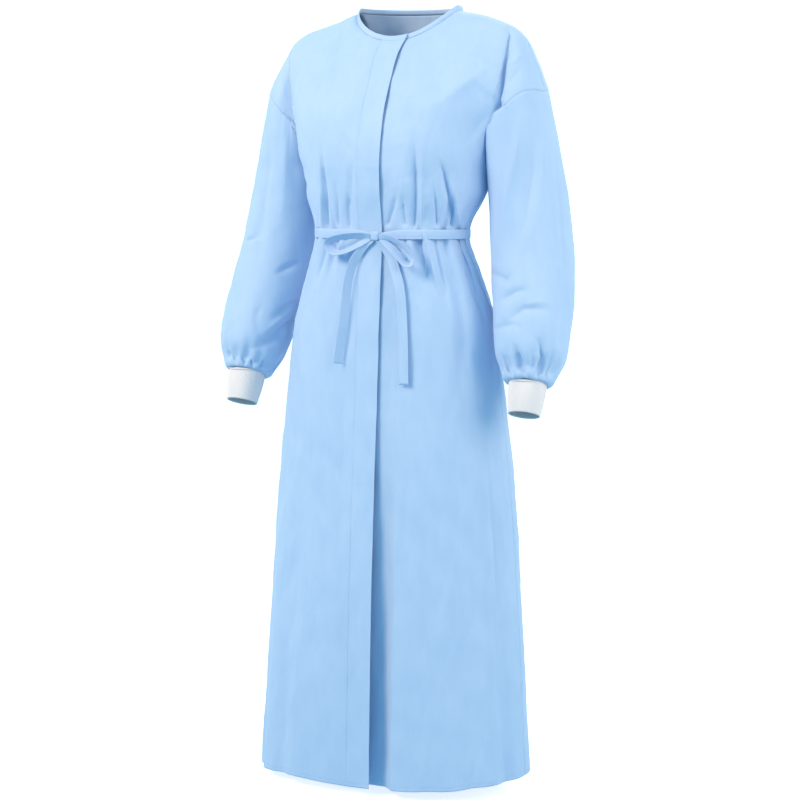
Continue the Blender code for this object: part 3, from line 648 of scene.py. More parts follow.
# Fabrics: light and deep colour, scale of the threads, strength of the fine
# crumple, roughness, sheen
FABRICS = {
    "gown_cloth": (CLOTH_LIGHT, CLOTH_DEEP, 260.0, 0.22, 0.62, 0.18),
    "trim_cloth": (CLOTH_LIGHT, CLOTH_DEEP, 300.0, 0.14, 0.60, 0.18),
    "cuff_knit": (KNIT_LIGHT, KNIT_DEEP, 160.0, 0.12, 0.85, 0.25),
    "sewing_thread": (CLOTH_LIGHT, CLOTH_DEEP, 900.0, 0.05, 0.50, 0.10),
}
CLOTH_SPECULAR = 0.25
SHEEN_ROUGHNESS = 0.45

# Colour changes of a fabric, from clouds to grain: stretch of the noise, scale,
# detail, share. The ramp's ends are the sums that give the deep and light colour.
COLOUR_NOISES = (
    ((1.0, 1.0, 0.45), 16.0, 4.0, 0.50),
    ((1.0, 1.0, 0.30), 70.0, 4.0, 0.30),
    ((1.0, 1.0, 1.0), 900.0, 2.0, 0.20),
)
RAMP_ENDS = (0.30, 0.62)

# Relief of a fabric: stretch, scale and detail of the fine crumple, its height,
# the threads' height, strength, wander and detail
FINE_CRUMPLE = ((1.0, 1.0, 0.55), 46.0, 5.0)
FINE_CRUMPLE_HEIGHT = 0.0028
WEAVE_HEIGHT = 0.00012
WEAVE_STRENGTH = 0.35
WEAVE_WANDER = 0.4
WEAVE_DETAIL = 1.0

# Roughness of all noises
NOISE_ROUGHNESS = 0.55


def smooth_step(value):
    """Ease from 0 to 1 with level ends."""
    value = np.clip(value, 0.0, 1.0)
    return value * value * (3.0 - 2.0 * value)


def read_column(table, column, place):
    """Read one column of a table between its rows, as a smooth curve."""
    keys = np.array([row[0] for row in table])
    values = np.array([row[column] for row in table])
    slopes = np.gradient(values, keys)
    place = np.clip(place, keys[0], keys[-1])
    index = np.clip(np.searchsorted(keys, place, side="right") - 1, 0, len(keys) - 2)
    span = keys[index + 1] - keys[index]
    part = (place - keys[index]) / span
    square = part * part
    cube = square * part
    return (
        (2.0 * cube - 3.0 * square + 1.0) * values[index]
        + (cube - 2.0 * square + part) * span * slopes[index]
        + (3.0 * square - 2.0 * cube) * values[index + 1]
        + (cube - square) * span * slopes[index + 1]
    )


def signed_power(value, power):
    """Raise the size of a value to a power and keep its sign."""
    return np.sign(value) * np.abs(value) ** power


def unit(vectors):
    """Vectors of length 1."""
    return vectors / np.maximum(np.linalg.norm(vectors, axis=-1, keepdims=True), 1e-12)


def trunk_point(turn, drop):
    """Points of the smooth trunk below the underarm, for arrays of turns and drops."""
    turn, drop = np.broadcast_arrays(np.asarray(turn, float), np.asarray(drop, float))
    angle = np.radians(turn)
    half_width = read_column(TRUNK, 1, drop)
    side_y = read_column(TRUNK, 3, drop)
    at_front = np.cos(angle) >= 0.0
    end_y = np.where(at_front, read_column(TRUNK, 2, drop), read_column(TRUNK, 4, drop))
    power = 2.0 / np.where(at_front, FRONT_SHAPE, BACK_SHAPE)
    x = half_width * signed_power(np.sin(angle), power)
    y = side_y + (end_y - side_y) * np.abs(np.cos(angle)) ** power
    return np.stack((x, y, -drop), axis=-1)


def panel_top(yoke, place):
    """Points of a panel's neck edge and shoulder seam, which meet in a corner."""
    angle = np.minimum(place / NECK_SIDE, 1.0) * math.pi / 2.0
    level = np.maximum(np.cos(angle), 0.0)
    if yoke is FRONT_YOKE:
        neck_y = -NECK_FRONT_DEPTH * level
        neck_z = -NECK_FRONT_DROP * level ** NECK_DIP_SHAPE
    else:
        neck_y = NECK_BACK_DEPTH * level
        neck_z = -NECK_BACK_DROP * level
    neck = np.stack((NECK_HALF_WIDTH * np.sin(angle), neck_y, neck_z), axis=-1)
    seam = [read_column(SHOULDER_SEAM, column, place) for column in (1, 2, 3)]
    return np.where(place[..., None] <= NECK_SIDE, neck, np.stack(seam, axis=-1))


def yoke_point(yoke, place, down):
    """Points of a front or back above the underarm, on the wearer's left."""
    place, down = np.broadcast_arrays(np.asarray(place, float), np.asarray(down, float))
    across = np.abs(place)
    columns = [read_column(yoke, column, across) for column in range(1, 7)]
    turn = 90.0 * across
    if yoke is BACK_YOKE:
        turn = 180.0 - turn
    top = panel_top(yoke, across)
    upper = np.stack(columns[0:3], axis=-1)
    foot = trunk_point(turn, UNDERARM_DROP)
    lower = foot + np.stack(columns[3:6], axis=-1)
    part = down[..., None]
    rest = 1.0 - part
    point = (
        rest ** 3 * top
        + 3.0 * rest ** 2 * part * upper
        + 3.0 * rest * part ** 2 * lower
        + part ** 3 * foot
    )
    point[..., 0] *= np.where(place < 0.0, -1.0, 1.0)
    return point


def trunk_outward(turn, drop):
    """Level way out from the trunk at each turn and drop."""
    step = 1.0
    along = trunk_point(turn + step, drop) - trunk_point(turn - step, drop)
    return unit(np.cross(along, np.array((0.0, 0.0, 1.0))))


def crease_depth(across, drop, folds, reach):
    """Depth of all the creases of a table at points given by turn and drop."""
    total = np.zeros(np.broadcast(across, drop).shape)
    for turn_0, drop_0, turn_1, drop_1, half_width, depth in folds:
        along = (drop - drop_0) / (drop_1 - drop_0)
        line = turn_0 + (turn_1 - turn_0) * np.clip(along, 0.0, 1.0)
        spread = FOLD_WIDTH + FOLD_WIDENING * np.clip(along, 0.0, 1.0)
        away = (across - line) * reach / (half_width * spread)
        lead = smooth_step((along + FOLD_LEAD) / FOLD_LEAD)
        fade = lead * smooth_step((1.0 - along) / FOLD_FADE)
        total += depth * np.exp(-away * away) * fade
    return total


def trunk_turn_reach(turn, drop):
    """Metres of cloth to each degree of turn, at each drop."""
    step = 1.0
    ahead = trunk_point(turn + step, drop)
    behind = trunk_point(turn - step, drop)
    return np.linalg.norm(ahead - behind, axis=-1) / (2.0 * step)


def row_drops():
    """Drops of the rows below the underarm, close together at the belt and the hem."""
    belt_top = BELT_DROP - BELT_WIDTH / 2.0
    belt_foot = BELT_DROP + BELT_WIDTH / 2.0
    hem_rows = GOWN_LENGTH - HEM_WIDTH * np.array(HEM_ROWS)
    to_belt, over_belt, to_hips, to_hem = SKIRT_ROWS
    return np.concatenate((
        np.linspace(UNDERARM_DROP, belt_top, to_belt)[1:],
        np.linspace(belt_top, belt_foot, over_belt)[1:],
        np.linspace(belt_foot, HIP_DROP, to_hips)[1:],
        np.linspace(HIP_DROP, hem_rows[0], to_hem)[1:-1],
        hem_rows,
    ))


def place_at(x, drop):
    """Place of a front's column that lies at x, past the centre where x is below 0."""
    ratio = np.minimum(np.abs(x) / read_column(TRUNK, 1, drop), 1.0)
    return np.sign(x) * np.arcsin(ratio ** (FRONT_SHAPE / 2.0)) / (math.pi / 2.0)


def side_places(columns):
    """Places of a panel's columns from the neck's side point to the side seam."""
    return np.concatenate((np.linspace(NECK_SIDE, SIDE_END, columns)[1:], SEAM_PLACES))


def front_places(lap, drop):
    """Places of a front's columns at one drop, from its free edge to the side."""
    near = place_at(LAP_WIDTHS - lap, drop)
    to_neck_side = np.linspace(near[-1], NECK_SIDE, NECK_COLUMNS)[1:]
    return np.concatenate((near, to_neck_side, side_places(FRONT_SIDE_COLUMNS)))


def back_places():
    """Places of a back's columns, from the centre seam to the side."""
    to_neck_side = np.linspace(CENTRE_PLACES[-1], NECK_SIDE, NECK_COLUMNS)[1:]
    return np.concatenate((CENTRE_PLACES, to_neck_side, side_places(BACK_SIDE_COLUMNS)))


def lap_setback(drop):
    """Distance from the over front in to the under front, at each drop."""
    return LAP_STEP + LAP_DEPTH * smooth_step((drop - LAP_START) / LAP_RUN)


def press_folds(grid, turns, drops, side):
    """Press the trunk's creases into the rows below the underarm."""
    turns, levels = np.broadcast_arrays(turns, drops[:, None])
    reach = trunk_turn_reach(turns, levels)
    depth = crease_depth(turns, levels, TRUNK_FOLDS, reach)
    outward = trunk_outward(turns, levels) * np.array((side, 1.0, 1.0))
    grid = grid.copy()
    grid[-len(drops):] -= outward * depth[..., None]
    return grid


def hang_hem(grid, turns, drops):
    """Lift the skirt's rows so that the last one lies on the hem."""
    part = np.clip((drops - HIP_DROP) / (GOWN_LENGTH - HIP_DROP), 0.0, 1.0)[:, None]
    grid = grid.copy()
    grid[-len(drops):, :, 2] += part * (GOWN_LENGTH - read_column(HEM, 1, turns))
    return grid


def set_back_lap(grid):
    """Draw the under front back where the over front lies on it."""
    grid = grid.copy()
    near = smooth_step((LAP_END - grid[..., 0]) / LAP_EASE)
    grid[..., 1] += near * lap_setback(-grid[..., 2])
    return grid


def front_grid(side):
    """Grid of a front's outer points. Side is +1 for the wearer's left."""
    lap = UNDERLAP if side > 0 else OVERLAP
    drops = row_drops()
    places = np.array([front_places(lap, drop) for drop in np.concatenate(((UNDERARM_DROP,), drops))])
    down = np.linspace(0.0, 1.0, UPPER_ROWS + 1)
    yoke = yoke_point(FRONT_YOKE, places[0][None, :], down[:, None])
    skirt = trunk_point(90.0 * places[1:], drops[:, None])
    grid = np.concatenate((yoke, skirt), axis=0)
    grid = press_folds(grid, side * 90.0 * places[1:], drops, side)
    grid = hang_hem(grid, side * 90.0 * places[1:], drops)
    if side > 0:
        grid = set_back_lap(grid)
    return grid * np.array((side, 1.0, 1.0))


def back_grid(side):
    """Grid of a back's outer points, from the centre seam to the side."""
    drops = row_drops()
    places = back_places()
    down = np.linspace(0.0, 1.0, UPPER_ROWS + 1)
    yoke = yoke_point(BACK_YOKE, places[None, :], down[:, None])
    turns = np.repeat(180.0 - 90.0 * places[None, :], len(drops), axis=0)
    skirt = trunk_point(turns, drops[:, None])
    grid = np.concatenate((yoke, skirt), axis=0)
    grid = press_folds(grid, side * turns, drops, side)
    grid = hang_hem(grid, side * turns, drops)
    return grid * np.array((side, 1.0, 1.0))


def grid_normals(grid, wrap, outward_sign):
    """Normals of a grid's points."""
    down = np.gradient(grid, axis=0)
    if wrap:
        across = (np.roll(grid, -1, axis=1) - np.roll(grid, 1, axis=1)) / 2.0
    else:
        across = np.gradient(grid, axis=1)
    return unit(np.cross(across, down)) * outward_sign


def camera_axes():
    """Place of the photograph's camera and its ways right, up and ahead."""
    turn = math.radians(CAMERA_AZIMUTH)
    tilt = math.radians(CAMERA_TILT)
    right = np.array((math.cos(turn), math.sin(turn), 0.0))
    level = np.array((-math.sin(turn), math.cos(turn), 0.0))
    ahead = level * math.cos(tilt) - np.array((0.0, 0.0, math.sin(tilt)))
    up = level * math.sin(tilt) + np.array((0.0, 0.0, math.cos(tilt)))
    place = -CAMERA_DISTANCE * level + CAMERA_ASIDE * right
    place = place + np.array((0.0, 0.0, CAMERA_HEIGHT))
    return place, right, up, ahead


def picture_points(points):
    """Where points are seen in the photograph's frame."""
    place, right, up, ahead = camera_axes()
    from_camera = points - place
    depth = from_camera @ ahead
    x = FRAME_POINTS / 2.0 + FOCAL_POINTS * (from_camera @ right) / depth
    y = FRAME_POINTS / 2.0 - FOCAL_POINTS * (from_camera @ up) / depth
    return np.stack((x, y), axis=-1)


def line_offsets(seen, line):
    """Signed distance from a line in the frame, and the part along it.

    The distance is above 0 on the left of the line going down.
    """
    line = np.array(line, float)
    lengths = np.linalg.norm(np.diff(line, axis=0), axis=1)
    starts = np.concatenate(((0.0,), np.cumsum(lengths)))
    best = np.full(seen.shape[:-1], math.inf)
    offset = np.zeros(seen.shape[:-1])
    along = np.zeros(seen.shape[:-1])
    for index, length in enumerate(lengths):
        way = (line[index + 1] - line[index]) / length
        away = seen - line[index]
        run = away @ way
        low = -math.inf if index == 0 else 0.0
        high = math.inf if index == len(lengths) - 1 else length
        held = np.clip(run, low, high)
        gap = away - held[..., None] * way
        distance = np.linalg.norm(gap, axis=-1)
        side = np.sign(way[0] * away[..., 1] - way[1] * away[..., 0])
        nearer = distance < best
        best = np.where(nearer, distance, best)
        offset = np.where(nearer, side * distance, offset)
        along = np.where(nearer, (starts[index] + held) / starts[-1], along)
    return offset, along


def top_hold(grid):
    """0 at a grid's first row, rising to 1 over the next few rows."""
    return smooth_step(np.arange(len(grid)) / TOP_HELD_ROWS)[:, None]


def press_creases(grid, normals, creases, held_rows=0):
    """Press creases drawn in the photograph into the side of a grid that faces it.

    They fade at the first rows and, where that is asked, over the last rows.
    """
    place, _, _, _ = camera_axes()
    facing = np.sum(unit(place - grid) * normals, axis=-1)
    weight = smooth_step(facing / CREASE_FACING) * top_hold(grid)
    if held_rows:
        weight = weight * smooth_step(np.arange(len(grid))[::-1] / held_rows)[:, None]
    seen = picture_points(grid)
    total = np.zeros(grid.shape[:-1])
    for line, left, right, depth, start in creases:
        going_up = line[-1][1] < line[0][1]
        offset, along = line_offsets(seen, line)
        offset = -offset if going_up else offset
        gathered = start == 1.0
        deep = GATHER_DEPTH if gathered else 1.0
        wide = GATHER_WIDTH if gathered else 1.0
        away = offset / np.where(offset > 0.0, left, right) / wide
        entry = start + (1.0 - start) * smooth_step(along / CREASE_ENTRY)
        before = smooth_step((along + CREASE_LEAD) / CREASE_LEAD)
        fade = entry * before * smooth_step((1.0 - along) / CREASE_FADE)
        total += deep * depth * MILLIMETRE * np.exp(-np.abs(away) ** CREASE_SHARPNESS) * fade
    return grid - normals * (total * weight)[..., None]


def fold_lips(grid, lips):
    """Fold the cloth beside a line of the photograph over the trough beyond it."""
    place, right, _, ahead = camera_axes()
    seen = picture_points(grid)
    scale = ((grid - place) @ ahead)[..., None] / FOCAL_POINTS
    columns = grid.shape[1]
    held = smooth_step((columns - LIP_SEAM_COLUMNS - np.arange(columns)) / LIP_SEAM_EASE)
    for line, side, reach, lap in lips:
        offset, along = line_offsets(seen, line)
        back = offset * side
        amount = lap * np.exp(-(np.maximum(back, 0.0) / reach) ** 2) * (back > 0.0)
        amount = amount * smooth_step(along / LIP_ENTRY) * smooth_step((1.0 - along) / LIP_FADE) * held
        grid = grid + right * side * amount[..., None] * scale
    return grid


def settle_shoulder(grid):
    """Let the right shoulder line sag to a straight slope."""
    middle, half_width, sag, foot = SHOULDER_SAG
    across = (-grid[..., 0] - middle) / half_width
    grid = grid.copy()
    clear = smooth_step((-grid[..., 0] - NECK_HALF_WIDTH - SAG_CLEARANCE) / SAG_EASE)
    high = smooth_step((grid[..., 2] + foot) / foot)
    grid[..., 2] -= sag * np.exp(-across * across) * clear * high
    return grid


def raise_placket(grid, normals):
    """Lift the doubled edge of the over front up to the dent of its stitch line."""
    lift = np.zeros(grid.shape[1])
    lift[:STITCH_COLUMN] = PLACKET_LIFT
    lift[STITCH_COLUMN] = -PLACKET_DENT
    return grid + normals * lift[None, :, None]


def crumple(grid, normals, seed, sewn_start=False, sewn_end=False):
    """Roughen the cloth softly, but not at its top nor at its sewn side columns."""
    chance = np.random.RandomState(seed)
    shift = np.zeros(grid.shape[:-1])
    for _ in range(CRUMPLE_WAVES):
        length = CRUMPLE_SPAN[0] * (CRUMPLE_SPAN[1] / CRUMPLE_SPAN[0]) ** chance.rand()
        way = chance.normal(size=3) * np.array((1.0, 1.0, 1.0 / CRUMPLE_RUN))
        way = way / np.linalg.norm(way)
        swing = grid @ way * 2.0 * math.pi / length + chance.rand() * 2.0 * math.pi
        slow = chance.normal(size=3) * CRUMPLE_PATCH
        patch = 0.5 + 0.5 * np.sin(grid @ slow + chance.rand() * 2.0 * math.pi)
        shift += np.sin(swing) * patch * CRUMPLE_STEEPNESS * length
    rows = np.arange(grid.shape[0])[:, None] / CRUMPLE_CALM
    columns = np.arange(grid.shape[1])[None, :] / CRUMPLE_CALM
    last = (grid.shape[1] - 1.0) / CRUMPLE_CALM
    calm = smooth_step(rows)
    if sewn_start:
        calm = calm * smooth_step(columns)
    if sewn_end:
        calm = calm * smooth_step(last - columns)
    return grid + normals * (shift * calm)[..., None]


def swell_chest(grid, normals):
    """Push the fronts out over the chest."""
    grid = grid.copy()
    for x, drop, width, above, below, swell in SWELLS:
        across = (grid[..., 0] - x) / width
        down = -grid[..., 2] - drop
        down = down / np.where(down < 0.0, above, below)
        amount = swell * np.exp(-across * across - down * down)
        grid = grid + normals * amount[..., None]
    return grid


def build_mesh(name, grid, material, wrap=False, flip=False, thickness=CLOTH_THICKNESS, offset=-1.0):
    """Make a piece from a grid of points, with the cloth's thickness behind it."""
    rows, columns = grid.shape[:2]
    last = columns if wrap else columns - 1
    row, column = np.meshgrid(np.arange(rows - 1), np.arange(last), indexing="ij")
    beside = (column + 1) % columns
    here = row * columns
    below = (row + 1) * columns
    corners = [here + column, here + beside, below + beside, below + column]
    if flip:
        corners.reverse()
    faces = np.stack(corners, axis=-1).reshape(-1, 4)
    mesh = bpy.data.meshes.new(name)
    mesh.from_pydata(grid.reshape(-1, 3).tolist(), [], faces.tolist())
    mesh.shade_smooth()
    mesh.materials.append(material)
    item = bpy.data.objects.new(name, mesh)
    bpy.context.scene.collection.objects.link(item)
    if thickness:
        wall = item.modifiers.new("Wall", "SOLIDIFY")
        wall.thickness = thickness
        wall.offset = offset
    return item


def sew_edge(grid, normals):
    """Sink a panel's side column and the three beside it into their seam."""
    grid = grid.copy()
    for column, share in SEAM_SHARES:
        grid[:, column] -= normals[:, column] * SEAM_DEPTH * share
    return grid


def panels():
    """Finished grids of the fronts and backs."""
    grids = {}
    for name, side in SIDES:
        front = front_grid(side)
        normals = grid_normals(front, False, -side)
        front = swell_chest(front, normals)
        normals = grid_normals(front, False, -side)
        front = crumple(front, normals, CRUMPLE_SEEDS[f"front_{name}"], sewn_end=True)
        front = press_creases(front, normals, CREASES[f"front_{name}"])
        front = fold_lips(front, LIPS[f"front_{name}"])
        back = back_grid(side)
        seed = CRUMPLE_SEEDS[f"back_{name}"]
        back = crumple(back, grid_normals(back, False, side), seed, sewn_start=True, sewn_end=True)
        if side < 0:
            front = raise_placket(front, grid_normals(front, False, -side))
            front = settle_shoulder(front)
            back = settle_shoulder(back)
        grids[f"front_{name}"] = front
        grids[f"back_{name}"] = back
    return grids


def sleeve_rings():
    """Drops and radii of a sleeve's rings, and the rings, from the cap in over the cuff."""
    rows = np.array(SLEEVE[:-1] + SLEEVE_FOOT)
    steps = np.linalg.norm(np.diff(rows, axis=0), axis=1)
    keys = np.concatenate(((0.0,), np.cumsum(steps)))
    keyed = [(key, *row) for key, row in zip(keys, rows.tolist())]
    place = keys[-1] * np.linspace(0.0, 1.0, SLEEVE_ROWS) ** SLEEVE_SPACING
    drops, x, y, radius = [read_column(keyed, column, place) for column in (1, 2, 3, 4)]
    centres = np.stack((x, y, -drops), axis=-1)
    return drops, radius, rings_round(centres, sleeve_way(drops), radius, SLEEVE_SIDES)


def sleeve_way(drops):
    """Way down the middle of a sleeve at each drop."""
    step = 0.012
    drops = np.clip(drops, SLEEVE[0][0] + step, SLEEVE_END - step)
    ends = []
    for level in (drops - step, drops + step):
        x = read_column(SLEEVE, 1, level)
        y = read_column(SLEEVE, 2, level)
        ends.append(np.stack((x, y, -level), axis=-1))
    return unit(ends[1] - ends[0])


def rings_round(centres, along, radius, sides):
    """Rings of given radius square to a way at each centre."""
    outward = unit(np.array((1.0, 0.0, 0.0)) - along[:, 0:1] * along)
    forward = np.cross(outward, along)
    forward *= np.where(forward[:, 1:2] > 0.0, -1.0, 1.0)
    angle = 2.0 * math.pi * np.arange(sides) / sides
    ring = np.cos(angle)[None, :, None] * outward[:, None, :]
    ring = ring + np.sin(angle)[None, :, None] * forward[:, None, :]
    return centres[:, None, :] + radius[:, None, None] * ring


def sleeve_grid(side, name, loop):
    """Grid of a sleeve's outer points, from the armhole to the cuff."""
    drops, radius, rings = sleeve_rings()
    turns = 360.0 * np.arange(SLEEVE_SIDES) / SLEEVE_SIDES
    folds = SLEEVE_FOLDS_LEFT if side > 0 else SLEEVE_FOLDS_RIGHT
    reach = radius[:, None] * math.pi / 180.0
    depth = crease_depth(turns[None, :], drops[:, None], folds, reach)
    for turn, gather, height in CUFF_GATHERS:
        away = (turns[None, :] - turn) / CUFF_GATHER_TURN
        rise = (SLEEVE_END - drops[:, None]) / height
        fade = smooth_step(rise * CUFF_GATHER_FOOT) * smooth_step(1.0 - rise)
        depth += gather * np.exp(-away * away) * fade
    centres = np.mean(rings, axis=1, keepdims=True)
    rings = rings + unit(centres - rings) * depth[..., None]
    parts = np.linspace(0.0, 1.0, CAP_ROWS + 1)[:-1]
    cap = [loop + (rings[0] - loop) * part for part in parts]
    grid = np.concatenate((np.array(cap), rings), axis=0)
    last = CAP_SMOOTH_ROWS
    for _ in range(CAP_SMOOTH_TIMES):
        near = grid[1:last]
        mean = (grid[0:last - 1] + grid[2:last + 1]) / 2.0
        grid[1:last] = near + CAP_SMOOTH * (mean - near)
    grid = grid * np.array((side, 1.0, 1.0))
    normals = grid_normals(grid, True, side)
    grid = crumple(grid, normals, CRUMPLE_SEEDS[f"sleeve_{name}"])
    return press_creases(grid, normals, CREASES[f"sleeve_{name}"], SLEEVE_HELD_ROWS)


def cuff_grid(side):
    """Grid of a cuff's outer points, ribbed all round."""
    sides = CUFF_RIBS * RIB_POINTS
    drops = np.linspace(CUFF[0][0] - CUFF_TUCK, CUFF[-1][0], CUFF_ROWS)
    centres = np.stack((read_column(CUFF, 1, drops), read_column(CUFF, 2, drops), -drops), axis=-1)
    radius = read_column(CUFF, 3, drops)
    grid = rings_round(centres, unit(np.gradient(centres, axis=0)), radius, sides)
    middle = np.mean(grid, axis=1, keepdims=True)
    wave = np.cos(2.0 * math.pi * CUFF_RIBS * np.arange(sides) / sides)[None, :, None]
    grid = grid + unit(grid - middle) * RIB_HEIGHT * wave
    return grid * np.array((side, 1.0, 1.0))


def binding_line():
    """Lower edge of the binding and the way up it, from the over front's edge round."""
    over = -place_at(-OVERLAP, UNDERARM_DROP)
    under = -place_at(-UNDERLAP, UNDERARM_DROP)
    first = np.linspace(-over, NECK_SIDE, BINDING_FRONT_COLUMNS)[:-1]
    back = np.linspace(0.0, NECK_SIDE, BINDING_BACK_COLUMNS)
    last = np.linspace(-under, NECK_SIDE, BINDING_FRONT_COLUMNS)[:-1]
    mirror = np.array((-1.0, 1.0, 1.0))
    right_front = yoke_point(FRONT_YOKE, first, 0.0) * mirror
    right_back = yoke_point(BACK_YOKE, back, 0.0)[::-1] * mirror
    left_back = yoke_point(BACK_YOKE, back, 0.0)
    left_front = set_back_lap(yoke_point(FRONT_YOKE, last, 0.0))[::-1]
    base = np.concatenate((right_front, right_back, left_back[1:], left_front))
    part = np.abs(base[:, 0]) / NECK_HALF_WIDTH
    most = np.where(base[:, 1:2] < 0.0, BINDING_FRONT_LEAN, BINDING_BACK_LEAN)
    lean = most * (1.0 - part[:, None] ** 2)
    aside = BINDING_SIDE_LEAN * base[:, 0:1] / NECK_HALF_WIDTH
    up = np.concatenate((aside, lean, np.ones((len(base), 1))), axis=1)
    return base, unit(up)


def binding_grid():
    """Grid of the neck binding, folded over the neck edge."""
    base, up = binding_line()
    along = np.gradient(base, axis=0)
    out = unit(np.cross(up, along))
    out *= np.where(np.sum(out * base, axis=1, keepdims=True) < 0.0, -1.0, 1.0)
    return np.array([
        base + up * height * BINDING_WIDTH + out * bulge
        for height, bulge in BINDING_SECTION
    ])


def belt_grid():
    """Grid of the belt's outer points where it goes round the waist."""
    turns = np.linspace(0.0, 360.0, BELT_COLUMNS, endpoint=False)
    turns = np.where(turns > 180.0, turns - 360.0, turns)
    parts, bulge = np.array(BELT_SECTION).T
    x = trunk_point(turns, BELT_DROP)[:, 0]
    at_front = np.abs(turns) < 90.0
    near = np.where(at_front, np.exp(-((x - KNOT_X) / PINCH_REACH) ** 2), 0.0)
    narrow = 1.0 - PINCH_NARROWING * near
    middle = BELT_DROP + PINCH_DIP * near
    drops = middle[None, :] + parts[:, None] * narrow[None, :] * BELT_WIDTH / 2.0
    grid = trunk_point(turns[None, :], np.full(drops.shape, BELT_DROP))
    grid[..., 2] = -drops
    lift = BELT_LIFT + bulge[:, None] + PINCH_LIFT * near[None, :]
    return grid + trunk_outward(turns, BELT_DROP)[None, :, :] * lift[..., None]


def skirt_front(x, drop):
    """Points of the skirt's front at each x and drop, and the level way out."""
    ratio = np.clip(np.abs(x) / read_column(TRUNK, 1, drop), 0.0, 1.0)
    turns = np.degrees(np.arcsin(ratio ** (FRONT_SHAPE / 2.0))) * np.sign(x)
    return trunk_point(turns, drop), trunk_outward(turns, BELT_DROP)


def ribbon_grid(route, stations):
    """Grid of a ribbon's middle surface along a route table."""
    keyed = [(index, *row) for index, row in enumerate(route)]
    place = np.linspace(0.0, len(route) - 1.0, stations)
    x, drop, out, lean, roll, width = [read_column(keyed, column, place) for column in range(1, 7)]
    base, outward = skirt_front(x, drop)
    centre = base + outward * out[:, None]
    lean = np.radians(lean)[:, None]
    roll = np.radians(roll)[:, None]
    sideways = np.cross(outward, np.array((0.0, 0.0, 1.0)))
    across = np.cos(lean) * np.array((0.0, 0.0, 1.0)) + np.sin(lean) * sideways
    across = np.cos(roll) * across + np.sin(roll) * outward
    half = across * (width * BELT_WIDTH / 2.0)[:, None]
    face = unit(np.cross(np.gradient(centre, axis=0), across))
    return np.array([centre + half * part + face * bulge for part, bulge in RIBBON_SECTION])


def knot_grid():
    """Grid of the bow's knot, a pinched wrap closed at top and bottom."""
    width, height, depth = KNOT_SIZE
    base, outward = skirt_front(np.array([KNOT_X]), np.array([BELT_DROP]))
    middle = base[0] + outward[0] * (KNOT_LIFT + depth / 2.0)
    middle[2] = -BELT_DROP - KNOT_SAG
    level = np.linspace(-1.0, 1.0, KNOT_ROWS)[:, None]
    angle = 2.0 * math.pi * np.arange(KNOT_COLUMNS)[None, :] / KNOT_COLUMNS
    swell = (1.0 - np.abs(level) ** KNOT_ROUNDNESS) ** (1.0 / KNOT_ROUNDNESS)
    waist = 1.0 + KNOT_SWELL * level ** 2
    wrinkle = 1.0
    for size, number, slant in KNOT_WRINKLES:
        wrinkle = wrinkle + size * np.cos(number * angle + slant * level)
    x = signed_power(np.cos(angle), KNOT_POWERS[0]) * width / 2.0 * swell * waist * wrinkle
    y = signed_power(np.sin(angle), KNOT_POWERS[1]) * depth / 2.0 * swell * wrinkle
    z = level * height / 2.0 + KNOT_TWIST * np.sin(2.0 * angle) * (1.0 - level ** 2)
    grid = np.stack((x, y, np.broadcast_to(z, x.shape)), axis=-1)
    return grid + middle


def stitch_run(grid, normals):
    """A line of the cloth's points and normals, lifted just off it."""
    return grid + normals * STITCH_LIFT, normals


def panel_stitches(front, back, side):
    """Lines of stitches of one side's panels: hems, and the placket on the over front."""
    front_normals = grid_normals(front, False, -side)
    back_normals = grid_normals(back, False, side)
    front_runs = [stitch_run(front[HEM_ROW], front_normals[HEM_ROW])]
    back_runs = [stitch_run(back[HEM_ROW], back_normals[HEM_ROW])]
    if side < 0:
        seen = picture_points(front[:, STITCH_COLUMN])
        start = int(np.argmin(np.abs(seen[:, 1] - PLACKET_STITCH_START)))
        tack = int(np.argmin(np.abs(seen[:, 1] - TACK_LEVEL)))
        front_runs.append(stitch_run(front[start:, STITCH_COLUMN], front_normals[start:, STITCH_COLUMN]))
        front_runs.append(stitch_run(front[tack, :STITCH_COLUMN], front_normals[tack, :STITCH_COLUMN]))
    return front_runs, back_runs


def thread_mesh(name, runs, material):
    """Make rows of stitches along lines of points, each with its normal."""
    half = THREAD_HALF_WIDTH
    length = STITCH_PITCH * STITCH_FILL
    verts = []
    faces = []
    for points, normals in runs:
        lengths = np.linalg.norm(np.diff(points, axis=0), axis=1)
        run = np.concatenate(((0.0,), np.cumsum(lengths)))
        for start in np.arange(0.0, run[-1] - STITCH_PITCH, STITCH_PITCH):
            ends = []
            for at in (start, start + length / 2.0, start + length):
                ends.append((
                    np.array([np.interp(at, run, points[:, axis]) for axis in range(3)]),
                    np.array([np.interp(at, run, normals[:, axis]) for axis in range(3)]),
                ))
            (head, _), (middle, up), (tail, _) = ends
            beside = unit(np.cross(tail - head, up)) * half
            first = len(verts)
            crown = middle + up * half * THREAD_HEIGHT
            verts += [head, tail, middle + beside, crown, middle - beside, middle - up * half]
            for one, two in ((2, 3), (3, 4), (4, 5), (5, 2)):
                faces.append((first, first + one, first + two))
                faces.append((first + 1, first + two, first + one))
    mesh = bpy.data.meshes.new(name)
    mesh.from_pydata([tuple(vert) for vert in verts], [], faces)
    mesh.shade_smooth()
    mesh.materials.append(material)
    item = bpy.data.objects.new(name, mesh)
    bpy.context.scene.collection.objects.link(item)
    return item


